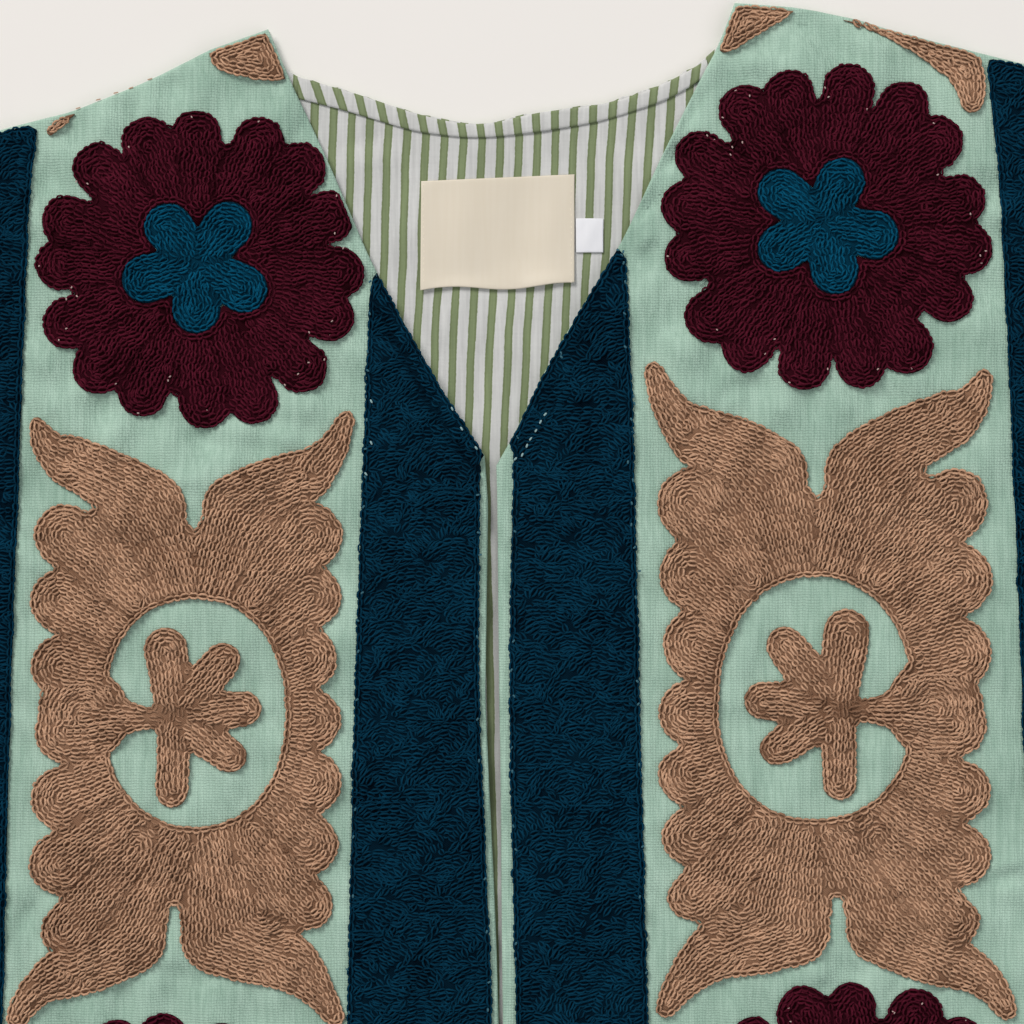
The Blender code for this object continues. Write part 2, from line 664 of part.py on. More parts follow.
def make_back():
    """The back, its lining and the band round the back neck."""
    right = side_edges("right")
    left = side_edges("left")
    neck = smooth_line(BACK_NECK, EDGE_STEP)
    hem = np.array([right["side"][-1], left["side"][-1]])
    outline = run_together(right["shoulder"][::-1], neck, left["shoulder"], left["armhole"],
                           left["side"], hem[::-1], right["side"][::-1], right["armhole"][::-1])
    outline = parted(outline, SEAM / 2)
    flat, faces = triangulated([outline])
    closed_wall("back", flat, faces, 0, WOOL, "mint_wool")

    outer = [right["shoulder"], left["shoulder"], left["armhole"], left["side"], hem,
             right["side"], right["armhole"]]

    def in_lining(points):
        from_edges = np.min([distance_to(points, line) for line in outer], axis=0) - LINING_INSET
        from_neck = distance_to(points, neck) - LINING_FROM_NECK
        inside = within(points, [outline])
        clear = np.minimum(from_edges, from_neck)
        return np.where(inside, clear, -np.abs(clear) - 0.01)

    low = outline.min(axis=0)
    high = outline.max(axis=0)
    lining = outline_of(in_lining, low, high, BAND_FIELD_STEP, 0.4)
    flat, faces = triangulated(lining)
    closed_wall("back_lining", flat, faces, LINING_LOW, LINING_LOW + COTTON, "striped_cotton")

    seam = smooth_line(NECK_BAND_SEAM, 0.5 * EDGE_STEP)
    crest = smooth_line(BACK_NECK[2:-2], 0.5 * EDGE_STEP)
    band = run_together(crest, np.array([crest[-1], seam[-1]]), seam[::-1], np.array([seam[0], crest[0]]))
    flat, faces = triangulated([parted(band, SEAM)])
    closed_wall("neck_band", flat, faces, BAND_LOW, BAND_LOW + COTTON, "striped_cotton")


def make_label():
    """The woven label, with a waved lower edge that lifts a little, and the size tab beside it."""
    top_left, top_right, low_right, low_left = (np.array(corner) for corner in LABEL)
    columns = 8
    share = np.linspace(0, 1, columns + 1)[:, None]
    lower = low_left + share * (low_right - low_left)
    lower[:, 1] += LABEL_WAVE * np.sin(2.6 * math.pi * share[:, 0])
    upper = top_left + share * (top_right - top_left)
    outline = np.vstack([lower, upper[::-1]])
    middle = 0.75 * lower[1:-1] + 0.25 * upper[1:-1]
    flat, faces = triangulated([outline], [], middle)
    lift = np.clip(1 - np.abs(flat[:, 1] - low_left[1]) / 12, 0, 1)
    lift *= LABEL_CURL * (0.5 + 0.5 * np.sin(flat[:, 0] / 11))
    closed_wall("label", flat, faces, BAND_LOW + lift, BAND_LOW + lift + LABEL_WALL, "satin")
    flat, faces = triangulated([np.array(SIZE_TAB)[::-1]])
    closed_wall("size_tab", flat, faces, BAND_LOW, BAND_LOW + LABEL_WALL, "white_tape")


def make_rosettes(fronts):
    for rosette in ROSETTES:
        panel = fronts[rosette.side]
        place = "_" + rosette.side + "_" + rosette.row
        centre = np.array([rosette.x, rosette.y])
        petals = flower_lobes(rosette)

        def in_ring(points, rosette=rosette, petals=petals, panel=panel):
            clear = -depth_in_lobes(points, petals) - MOTIF_GAP
            edge = depth_in(points, panel.outline) - LEAF_MARGIN
            return np.minimum(np.minimum(depth_in_rosette(points, rosette), clear), edge)

        reach = 1.06 * PETAL_REACH * max(rosette.width, rosette.height)
        panel.lay("rosette" + place, in_ring, centre - reach, centre + reach, "maroon_yarn")
        panel.lay("flower" + place, lambda p, petals=petals: depth_in_lobes(p, petals),
                  centre - FLOWER_REACH - 4, centre + FLOWER_REACH + 6, "blue_yarn")


def make_medallions(fronts):
    for medallion in MEDALLIONS:
        centre = np.array([medallion.x, medallion.y])
        reach = np.array([90 * abs(medallion.width), 146 * medallion.up])
        fronts[medallion.side].lay("medallion_" + medallion.side,
                                   lambda p, medallion=medallion: depth_in_medallion(p, medallion),
                                   centre - reach, centre + reach, "tan_yarn")


def make_leaves(fronts):
    for side, panel in fronts.items():
        for name, lobes in (("neck_leaf_", NECK_LEAVES[side]), ("shoulder_leaf_", SHOULDER_LEAVES[side])):
            ends = np.array([end for lobe in lobes for end in (lobe.base, lobe.bend, lobe.tip)], float)
            panel.lay(name + side,
                      lambda p, lobes=lobes, panel=panel: np.minimum(
                          depth_in_lobes(p, lobes), depth_in(p, panel.outline) - LEAF_MARGIN),
                      ends.min(axis=0) - 16, ends.max(axis=0) + 16, "tan_yarn")


def make_bands(fronts):
    """The front and side bands of each front, with a roll along the neck edge of the front band."""
    for side, panel in fronts.items():
        hand = 1 if side == "left" else -1
        neck = side_edges(side)["neck"]
        rosette = next(r for r in ROSETTES if r.side == side and r.row == "upper")
        low = panel.outline.min(axis=0)
        high = panel.outline.max(axis=0)

        def in_front_band(points, side=side, hand=hand, panel=panel, rosette=rosette):
            x = points[..., 0]
            y = points[..., 1]
            from_inner = hand * (x - band_reach(side, "inner", y))
            to_outer = hand * (band_reach(side, "outer", y) - x)
            edge = depth_in(points, panel.outline) - BAND_MARGIN
            clear = -depth_in_rosette(points, rosette) - 2 * MOTIF_GAP
            return np.minimum.reduce([from_inner, to_outer, edge, clear])

        def roll(points, side=side, neck=neck):
            away = distance_to(points, neck)
            crest = np.interp(away, [0, ROLL_WIDTH[side] / 2, ROLL_WIDTH[side],
                                     ROLL_WIDTH[side] + GROOVE_WIDTH], [0.6, 1, -0.3, 0])
            return ROLL_RISE[side] * crest

        inward = []
        for offset in (ROLL_WIDTH[side] / 2, ROLL_WIDTH[side], ROLL_WIDTH[side] + GROOVE_WIDTH):
            start = neck[1:-4]
            step = np.gradient(start, axis=0)
            step /= np.linalg.norm(step, axis=1)[:, None]
            inward.append(start + offset * hand * np.stack([step[:, 1], -step[:, 0]], axis=1))
        panel.lay("front_band_" + side, in_front_band, low, high, "teal_yarn",
                  BAND_FIELD_STEP, inward, roll)

        def in_side_band(points, side=side, hand=hand, panel=panel):
            from_side = hand * (points[..., 0] - band_reach(side, "side", points[..., 1]))
            edge = depth_in(points, panel.outline) - BAND_MARGIN
            return np.minimum(from_side, edge)

        panel.lay("side_band_" + side, in_side_band, low, high, "teal_yarn", BAND_FIELD_STEP)


make_back()
make_label()
make_sleeves()
body_fronts = make_fronts()
make_bands(body_fronts)
make_rosettes(body_fronts)
make_medallions(body_fronts)
make_leaves(body_fronts)
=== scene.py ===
"""An embroidered wool jacket laid flat, face up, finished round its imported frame.

The neck points to +Y and the hem to -Y. Left and right are the wearer's, so the left front is at +X.
Flat sizes are in millimetres, and each mesh is scaled to metres as it is made.
"""

import math
from collections import namedtuple

import bpy
import numpy as np
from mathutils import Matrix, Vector
from mathutils.bvhtree import BVHTree
from mathutils.geometry import delaunay_2d_cdt
from mathutils.kdtree import KDTree


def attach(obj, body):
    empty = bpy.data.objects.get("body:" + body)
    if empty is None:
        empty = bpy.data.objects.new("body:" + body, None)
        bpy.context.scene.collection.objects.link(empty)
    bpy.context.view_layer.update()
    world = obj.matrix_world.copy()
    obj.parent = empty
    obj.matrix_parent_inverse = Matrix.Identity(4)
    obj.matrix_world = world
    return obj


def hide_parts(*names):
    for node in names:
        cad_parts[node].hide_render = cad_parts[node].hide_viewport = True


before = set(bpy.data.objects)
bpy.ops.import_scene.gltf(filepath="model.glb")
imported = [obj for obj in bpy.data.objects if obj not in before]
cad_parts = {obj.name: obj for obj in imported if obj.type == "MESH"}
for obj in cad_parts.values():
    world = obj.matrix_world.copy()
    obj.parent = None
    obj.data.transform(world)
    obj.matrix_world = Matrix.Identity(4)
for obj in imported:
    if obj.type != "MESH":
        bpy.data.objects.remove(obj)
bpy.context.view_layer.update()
MM = 0.001


# The table, the camera and the light. The table top is pale and plain, and the camera looks straight
# down at the neck and chest. A broad soft lamp stands beyond the neck, and a faint one and a pale sky
# soften its shadows.
PICTURE_SPAN = 460.8
PICTURE_MIDDLE = (0.0, 95.0)
FACE_HEIGHT = 8.0
LENS = 90.0
SENSOR = 36.0
TABLE_SIZE = 6000.0
TABLE_LOW = -0.3
TABLE_COLOUR = (0.92, 0.88, 0.84)
LAMPS = {
    "key_lamp": {"place": (-2800, 4000, 4000), "size": 2500, "power": 303.0, "colour": (1.0, 0.985, 0.96)},
    "fill_lamp": {"place": (1100, -500, 1700), "size": 1500, "power": 9.0, "colour": (0.95, 0.98, 1.0)},
}
SKY_COLOUR = (0.97, 0.98, 1.0)
SKY_STRENGTH = 0.27


def add(tree, kind, values=None, **settings):
    """Adds a node, sets what it is set to, and joins or fills its inputs by name or place."""
    made = tree.nodes.new(kind)
    for name, value in settings.items():
        setattr(made, name, value)
    for key, value in (values or {}).items():
        if isinstance(value, bpy.types.NodeSocket):
            tree.links.new(value, made.inputs[key])
        else:
            made.inputs[key].default_value = value
    return made


def maths(tree, operation, a, b=0.0, c=0.0):
    """One number worked out from up to three others."""
    return add(tree, "ShaderNodeMath", {0: a, 1: b, 2: c}, operation=operation).outputs[0]


def blended(tree, share, first, second):
    """A colour between two others."""
    made = add(tree, "ShaderNodeMix", {"Factor": share, "A": first, "B": second}, data_type="RGBA")
    return made.outputs["Result"]


def finish(name, roughness, **weights):
    """A new material, with its tree and its shader."""
    made = bpy.data.materials.new(name)
    made.use_nodes = True
    shader = made.node_tree.nodes["Principled BSDF"]
    shader.inputs["Roughness"].default_value = roughness
    for key, value in weights.items():
        shader.inputs[key.replace("_", " ")].default_value = value
    return made, made.node_tree, shader


table_finish, tree, shader = finish("pale_table", 0.85)
grain = add(tree, "ShaderNodeTexNoise", {"Scale": 9.0, "Detail": 6.0, "Roughness": 0.6})
lighter = tuple(min(1.0, 1.05 * part) for part in TABLE_COLOUR)
table_tone = blended(tree, grain.outputs["Fac"], (*TABLE_COLOUR, 1), (*lighter, 1))
tree.links.new(table_tone, shader.inputs["Base Color"])
bump = add(tree, "ShaderNodeBump", {"Strength": 0.15, "Distance": 0.001, "Height": grain.outputs["Fac"]})
tree.links.new(bump.outputs[0], shader.inputs["Normal"])
half = TABLE_SIZE / 2 * MM
table_mesh = bpy.data.meshes.new("table")
corners = [(x, y, TABLE_LOW * MM) for x, y in ((-half, -half), (half, -half), (half, half), (-half, half))]
table_mesh.from_pydata(corners, [], [(0, 1, 2, 3)])
table_mesh.materials.append(table_finish)
table = bpy.data.objects.new("table", table_mesh)
bpy.context.scene.collection.objects.link(table)

for name, lamp in LAMPS.items():
    light = bpy.data.lights.new(name, "AREA")
    light.size = lamp["size"] * MM
    light.energy = lamp["power"]
    light.color = lamp["colour"]
    holder = bpy.data.objects.new(name, light)
    holder.location = Vector(lamp["place"]) * MM
    aim = Vector((*PICTURE_MIDDLE, 0)) * MM - holder.location
    holder.rotation_euler = aim.to_track_quat("-Z", "Y").to_euler()
    bpy.context.scene.collection.objects.link(holder)

sky = bpy.data.worlds.new("soft_sky")
sky.use_nodes = True
sky.node_tree.nodes["Background"].inputs["Color"].default_value = (*SKY_COLOUR, 1)
sky.node_tree.nodes["Background"].inputs["Strength"].default_value = SKY_STRENGTH
bpy.context.scene.world = sky
bpy.context.scene.view_settings.view_transform = "Standard"

eye = bpy.data.cameras.new("camera")
eye.lens = LENS
eye.sensor_width = SENSOR
camera = bpy.data.objects.new("camera", eye)
camera.location = Vector((*PICTURE_MIDDLE, FACE_HEIGHT + PICTURE_SPAN * LENS / SENSOR)) * MM
bpy.context.scene.collection.objects.link(camera)
bpy.context.scene.camera = camera


# The wool cloth of the back, the two fronts and the four sleeve pieces: a plain weave of soft mint wool,
# 2 mm thick, cut to shape. Each is a thin shell with rounded edges, creased where it was folded.
WOOL = 2.0
SEAM = 0.3
STRIP_TURN = 1.4
THREAD = 1.25
MINT_DARK = (0.266, 0.421, 0.329)
MINT_LIGHT = (0.492, 0.686, 0.562)
EDGE_ROUND = ([0.0, 0.5, 1.4], [0.9, 0.3, 0.0])
FINE_STEP = 4.0
LINE_STEP = 5.0
COARSE_STEP = 22.0
OVER_WOOL = 2.2
CREASE_STRENGTH = 1.8
NARROW = 5.2
# A crease lies about its middle at a turn, in degrees, and bows aside. It rises, or sinks, by its depth.
Crease = namedtuple("Crease", "x y turn length width depth bow")
CREASES = {
    "front_left": [
        Crease(134, 311, -14, 46, 9.0, -1.5, 0),
        Crease(124.5, 302, 37, 40, 8.0, 1.1, 0),
        Crease(147.5, 298.5, -16, 44, 6.0, -1.1, 0),
        Crease(88, 301, 40, 24, 3.2, -1.2, 0),
        Crease(165.5, -59.5, -77, 48, 5.0, -1.2, 1),
        Crease(148, -110.5, -18, 50, 5.0, -1.0, 0),
        Crease(194.5, -118, 27, 32, 3.4, -0.8, 0),
        Crease(222, -64, 10, 26, 3.6, 0.8, 0),
        Crease(220.5, -71, 8, 24, 3.6, -0.8, 0),
        Crease(140, 298.5, -9, 66, 5.5, 0.9, -4),
        Crease(112, 297, 22, 30, 4.0, 0.5, 1),
        Crease(82, 276, 58, 34, 3.2, -1.2, 1),
        Crease(74, 268, 55, 38, 3.0, 1.0, 1),
        Crease(70, 254, 50, 32, 3.2, -1.3, -1),
        Crease(62, 244, 44, 30, 3.4, 1.0, 1),
        Crease(61, 232, 36, 30, 3.6, -1.6, 0),
        Crease(60, 216, 40, 26, 3.6, 1.0, 1),
        Crease(70, 196, 50, 22, 3.6, -0.5, 0),
        Crease(216, 232, 86, 110, 5.0, -0.6, 2),
        Crease(212, 150, 96, 80, 5.5, 0.5, -2),
        Crease(96, 146, 30, 56, 5.0, -0.7, 2),
        Crease(108, 133, 26, 60, 5.0, 0.6, -2),
        Crease(180, 139, -20, 50, 5.5, -0.6, 2),
        Crease(163, 8, 88, 74, 6.0, -0.9, 3),
        Crease(151, 0, 84, 60, 5.0, 0.5, 2),
        Crease(122, 14, 100, 50, 5.0, -0.4, 2),
        Crease(62, -40, 92, 120, 4.0, 0.4, 1),
        Crease(150, -121, 6, 80, 5.5, -1.2, 3),
        Crease(172, -113, 3, 70, 5.0, 0.9, -3),
        Crease(132, -131, 12, 46, 4.5, 0.6, 2),
        Crease(206, -96, 74, 70, 5.5, -0.7, 2),
        Crease(150, -285, 8, 100, 8.0, -0.9, 3),
        Crease(90, -270, 62, 80, 7.0, 0.7, -3),
        Crease(210, -300, 120, 60, 6.0, -0.8, 2),
        Crease(84, -180, 88, 90, 6.0, -0.6, 3),
    ],
    "front_right": [
        Crease(-107, 277, 78, 44, 4.0, -0.8, 1),
        Crease(-98, 270, 70, 40, 3.6, 0.6, 1),
        Crease(-121, 290, 100, 28, 4.0, 0.4, 0),
        Crease(-160, 281, 24, 50, 5.0, -0.5, 2),
        Crease(-206, 244, 62, 60, 5.0, -0.6, 2),
        Crease(-216, 205, 82, 80, 4.5, 0.5, 1),
        Crease(-122, 121, -12, 84, 5.0, -1.2, 3),
        Crease(-106, 128, -14, 70, 4.5, 0.8, 2),
        Crease(-146, 112, -8, 60, 5.0, 0.6, -2),
        Crease(-196, 138, 28, 50, 5.0, -0.6, 2),
        Crease(-84, 150, 84, 60, 4.0, -0.4, 1),
        Crease(-216, 60, 88, 120, 4.5, 0.4, 2),
        Crease(-150, 24, 20, 40, 6.0, -0.5, 1),
        Crease(-128, -22, 160, 44, 6.0, 0.4, 1),
        Crease(-214, -84, 54, 66, 4.5, -1.1, 2),
        Crease(-207, -97, 58, 60, 4.5, 0.8, 2),
        Crease(-218, -112, 66, 54, 4.0, -0.8, 1),
        Crease(-150, -112, 168, 60, 5.0, -0.7, 2),
        Crease(-84, -120, 112, 54, 4.5, -0.6, 2),
        Crease(-150, -292, 172, 100, 8.0, -0.9, 3),
        Crease(-215, -284, 60, 70, 7.0, 0.8, 2),
        Crease(-92, -262, 96, 90, 6.5, -0.7, 3),
        Crease(-90, -300, 150, 60, 6.0, 0.6, 2),
    ],
    "top_sleeve_left": [
        Crease(318, 222, 290, 120, 9.0, -1.6, 5),
        Crease(338, 176, 300, 150, 11.0, 1.4, 6),
        Crease(372, 120, 322, 130, 10.0, -1.5, -5),
        Crease(420, 170, 330, 160, 12.0, -1.2, 7),
        Crease(470, 132, 318, 110, 9.0, 1.1, 4),
        Crease(520, 112, 300, 90, 8.0, -1.3, 5),
        Crease(566, 128, 330, 120, 9.0, -1.0, -5),
        Crease(612, 76, 296, 90, 8.0, 1.2, 3),
        Crease(640, 108, 286, 110, 7.0, -1.1, 3),
        Crease(680, 78, 290, 90, 6.0, 0.7, 2),
        Crease(310, 110, 280, 80, 8.0, -0.9, 3),
    ],
    "top_sleeve_right": [
        Crease(-312, 196, 250, 120, 9.0, -1.6, -5),
        Crease(-336, 150, 242, 140, 11.0, 1.4, -6),
        Crease(-362, 96, 220, 120, 10.0, -1.5, 5),
        Crease(-414, 146, 210, 150, 12.0, -1.2, -7),
        Crease(-462, 108, 222, 110, 9.0, 1.1, -4),
        Crease(-508, 88, 240, 90, 8.0, -1.3, -5),
        Crease(-556, 104, 212, 120, 9.0, -1.0, 5),
        Crease(-600, 52, 244, 90, 8.0, 1.2, -3),
        Crease(-634, 84, 254, 110, 7.0, -1.1, -3),
        Crease(-676, 52, 250, 90, 6.0, 0.7, -2),
        Crease(-306, 88, 262, 80, 8.0, -0.9, -3),
    ],
}


# Heavy stitching gathers the cloth round it: a ring of small waves about each rosette.
Pucker = namedtuple("Pucker", "x y reach waves depth")
PUCKER_WIDTH = 10.0
PUCKERS = {
    "front_left": [Pucker(141, 222.8, 81, 17, 1.3), Pucker(155, -190, 81, 19, 1.3)],
    "front_right": [Pucker(-140.5, 204.5, 79, 18, 1.3), Pucker(-152, -204, 79, 16, 1.3)],
}
WOOL_UNEVENNESS = 2.9


def upper_side(node):
    """The points and the triangles of the upper side of a frame solid, in millimetres."""
    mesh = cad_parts[node].data
    mesh.calc_loop_triangles()
    places = np.array([tuple(v.co) for v in mesh.vertices]) / MM
    faces = np.array([tuple(t.vertices) for t in mesh.loop_triangles])
    places, joined = np.unique(np.round(places, 3), axis=0, return_inverse=True)
    faces = joined.reshape(-1)[faces]
    a, b, c = (places[faces[:, k]] for k in range(3))
    normals = np.cross(b - a, c - a)
    lengths = np.maximum(np.linalg.norm(normals, axis=1), 1e-12)
    return places, faces[normals[:, 2] / lengths > 0.3]


def outlines(node):
    """The closed outlines of a frame solid seen from above, the longest first."""
    places, faces = upper_side(node)
    directed = {(int(a), int(b)) for face in faces for a, b in zip(face, np.roll(face, -1))}
    after = {a: b for a, b in sorted(directed) if (b, a) not in directed}
    loops = []
    while after:
        key = next(iter(after))
        loop = []
        while key in after:
            loop.append(places[key][:2])
            key = after.pop(key)
        loops.append(np.array(loop))
    return sorted((loop for loop in loops if len(loop) > 2), key=len, reverse=True)


def refined(loop, step, sharpest=28.0):
    """A closed outline with a point about every step, smooth except at its sharp corners."""
    count = len(loop)
    way = np.roll(loop, -1, axis=0) - loop
    heading = np.arctan2(way[:, 1], way[:, 0])
    turn = np.abs((heading - np.roll(heading, 1) + math.pi) % (2 * math.pi) - math.pi)
    sharp = turn > math.radians(sharpest)
    fine = []
    for k in range(count):
        p1 = loop[k]
        p2 = loop[(k + 1) % count]
        p0 = 2 * p1 - p2 if sharp[k] else loop[k - 1]
        p3 = 2 * p2 - p1 if sharp[(k + 1) % count] else loop[(k + 2) % count]
        pieces = max(1, round(np.linalg.norm(p2 - p1) / step))
        for t in np.arange(pieces) / pieces:
            fine.append(0.5 * (2 * p1 + (p2 - p0) * t + (2 * p0 - 5 * p1 + 4 * p2 - p3) * t**2
                               + (3 * p1 - p0 - 3 * p2 + p3) * t**3))
    return np.array(fine)


def drawn_in(loop, gap):
    """A closed outline drawn in all round by a gap."""
    into = loop - np.roll(loop, 1, axis=0)
    out = np.roll(loop, -1, axis=0) - loop
    into /= np.maximum(np.linalg.norm(into, axis=1), 1e-9)[:, None]
    out /= np.maximum(np.linalg.norm(out, axis=1), 1e-9)[:, None]
    inward = np.stack([-(into + out)[:, 1], (into + out)[:, 0]], axis=1)
    return loop + gap * inward / np.maximum(np.linalg.norm(inward, axis=1), 1e-9)[:, None]


def distance_to(points, line):
    """The distance from each point to a line of joined points."""
    best = np.full(points.shape[:-1], np.inf)
    for start, end in zip(line[:-1], line[1:]):
        along = end - start
        share = np.clip(((points - start) @ along) / max(along @ along, 1e-9), 0, 1)
        best = np.minimum(best, np.linalg.norm(points - start - share[..., None] * along, axis=-1))
    return best


def closed(loop):
    """A loop of points with its first point again at its end."""
    return np.vstack([loop, loop[:1]])


def within(points, loops):
    """True for each point that lies inside the loops, with a loop inside another as its hole."""
    inside = np.zeros(points.shape[:-1], bool)
    for loop in loops:
        for (x0, y0), (x1, y1) in zip(loop, np.roll(loop, -1, axis=0)):
            if y0 == y1:
                continue
            crosses = (y0 > points[..., 1]) != (y1 > points[..., 1])
            inside ^= crosses & (points[..., 0] < (x1 - x0) * (points[..., 1] - y0) / (y1 - y0) + x0)
    return inside


def depth_in(points, loops):
    """How far inside the loops each point is, and less than nothing outside them."""
    away = np.min([distance_to(points, closed(loop)) for loop in loops], axis=0)
    return np.where(within(points, loops), away, -away)


def spread(low, high, step):
    """Points all over a rectangle, in rows that are shifted by half a step in turn."""
    rows = np.arange(low[1], high[1] + step, step * 0.87)
    columns = np.arange(low[0], high[0] + step, step)
    return np.array([(x + (k % 2) * step / 2, y) for k, y in enumerate(rows) for x in columns])


def triangulated(loops, spots=()):
    """Points and upward triangles that fill the loops, with more points at the spots, and where each went."""
    points = []
    cuts = []
    for loop in loops:
        first = len(points)
        points.extend(loop)
        cuts.extend((first + k, first + (k + 1) % len(loop)) for k in range(len(loop)))
    points.extend(spots)
    given = [Vector((float(x), float(y))) for x, y in points]
    placed, _, faces, sources, _, _ = delaunay_2d_cdt(given, cuts, [], 0, 0.01)
    went = {source: k for k, found in enumerate(sources) for source in found}
    placed = np.array([tuple(p) for p in placed])
    faces = np.array([tuple(f) for f in faces])
    a, b, c = (placed[faces[:, k]] for k in range(3))
    turned = (b[:, 0] - a[:, 0]) * (c[:, 1] - a[:, 1]) < (b[:, 1] - a[:, 1]) * (c[:, 0] - a[:, 0])
    faces[turned] = faces[turned][:, ::-1]
    return placed, faces, went


def raised_by(points, creases):
    """How far creases raise or sink the cloth at each point."""
    rise = np.zeros(points.shape[:-1])
    for crease in creases:
        turn = math.radians(crease.turn)
        off = points - np.array([crease.x, crease.y])
        along = off @ np.array([math.cos(turn), math.sin(turn)]) / (crease.length / 2)
        across = off @ np.array([-math.sin(turn), math.cos(turn)]) - crease.bow * (1 - along**2)
        taper = np.cos(0.5 * math.pi * np.clip(along, -1, 1)) ** 2
        rise += CREASE_STRENGTH * crease.depth * taper * np.exp(-(across / crease.width) ** 2)
    return rise


def puckered(points, puckers):
    """How far the cloth is gathered into small waves round the edge of heavy stitching."""
    rise = np.zeros(points.shape[:-1])
    for pucker in puckers:
        off = points - np.array([pucker.x, pucker.y])
        angle = np.arctan2(off[..., 1], off[..., 0])
        away = np.hypot(off[..., 0], off[..., 1]) - pucker.reach
        waves = np.sin(pucker.waves * angle + 1.5 * np.sin(3 * angle))
        rise += pucker.depth * waves * np.exp(-(away / PUCKER_WIDTH) ** 2)
    return rise


def undulations(points):
    """Soft uneven waves of handled cloth, from broad swells down to small ripples."""
    x = points[..., 0]
    y = points[..., 1]
    broad = np.sin(x / 13 + 1.9 * np.sin(y / 31)) * np.sin(y / 16 + 1.6 * np.sin(x / 27))
    middle = np.sin(x / 5.6 + y / 9.7 + 1.8 * np.sin(y / 12))
    middle *= np.sin(y / 6.9 - x / 17 + 1.5 * np.sin(x / 11))
    small = np.sin(x / 2.7 + 1.4 * np.sin(y / 5)) * np.sin(y / 3.3 + 1.7 * np.sin(x / 6))
    return 0.42 * broad + 0.33 * middle + 0.08 * small


class Relief:
    """The height of a cloth's upper side: that of its frame solid, softened, with creases and waves."""

    def __init__(self, node, step=4.0, softening=3, creases=(), unevenness=0.12, puckers=()):
        places, faces = upper_side(node)
        tree = BVHTree.FromPolygons(places.tolist(), faces.tolist())
        low = places.min(axis=0)[:2] - 2 * step
        high = places.max(axis=0)[:2] + 2 * step
        self.low = low
        self.step = step
        xs = np.arange(low[0], high[0] + step, step)
        ys = np.arange(low[1], high[1] + step, step)
        down = Vector((0, 0, -1))
        heights = np.full((len(xs), len(ys)), np.nan)
        for i, x in enumerate(xs):
            for j, y in enumerate(ys):
                hit = tree.ray_cast(Vector((x, y, 100)), down)[0]
                if hit is not None:
                    heights[i, j] = hit.z
        while np.isnan(heights).any():
            ring = np.pad(heights, 1, constant_values=np.nan)
            near = np.stack([ring[1 + i:1 + i + len(xs), 1 + j:1 + j + len(ys)]
                             for i in (-1, 0, 1) for j in (-1, 0, 1)])
            known = ~np.isnan(near)
            mean = np.where(known, near, 0).sum(axis=0) / np.maximum(known.sum(axis=0), 1)
            fill = np.isnan(heights) & known.any(axis=0)
            heights[fill] = mean[fill]
        for _ in range(softening):
            for axis in (0, 1):
                before = np.take(heights, np.maximum(np.arange(heights.shape[axis]) - 1, 0), axis=axis)
                last = heights.shape[axis] - 1
                after = np.take(heights, np.minimum(np.arange(heights.shape[axis]) + 1, last), axis=axis)
                heights = 0.25 * before + 0.5 * heights + 0.25 * after
        self.heights = heights
        self.creases = creases
        self.unevenness = unevenness
        self.puckers = puckers

    def at(self, points):
        """The height of the upper side at each point."""
        place = (points - self.low) / self.step
        cell = np.clip(np.floor(place).astype(int), 0, np.array(self.heights.shape) - 2)
        share = np.clip(place - cell, 0, 1)
        i = cell[..., 0]
        j = cell[..., 1]
        s = share[..., 0]
        t = share[..., 1]
        flat = ((1 - s) * (1 - t) * self.heights[i, j] + s * (1 - t) * self.heights[i + 1, j]
                + (1 - s) * t * self.heights[i, j + 1] + s * t * self.heights[i + 1, j + 1])
        waves = self.unevenness * undulations(points) + puckered(points, self.puckers)
        return flat + raised_by(points, self.creases) + waves

    def finely(self, points):
        """True near a narrow crease, where the mesh has to be finer."""
        broad = [crease._replace(depth=1.0, width=1.6 * crease.width)
                 for crease in self.creases if crease.width < NARROW]
        return raised_by(points, broad) > 0.3 * CREASE_STRENGTH


def made_of(name, points, faces, material):
    """An object of points in millimetres and faces, shaded smooth, riding on the jacket."""
    mesh = bpy.data.meshes.new(name)
    mesh.from_pydata((points * MM).tolist(), [], faces)
    mesh.shade_smooth()
    mesh.materials.append(material)
    made = bpy.data.objects.new(name, mesh)
    bpy.context.scene.collection.objects.link(made)
    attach(made, "root")
    return made


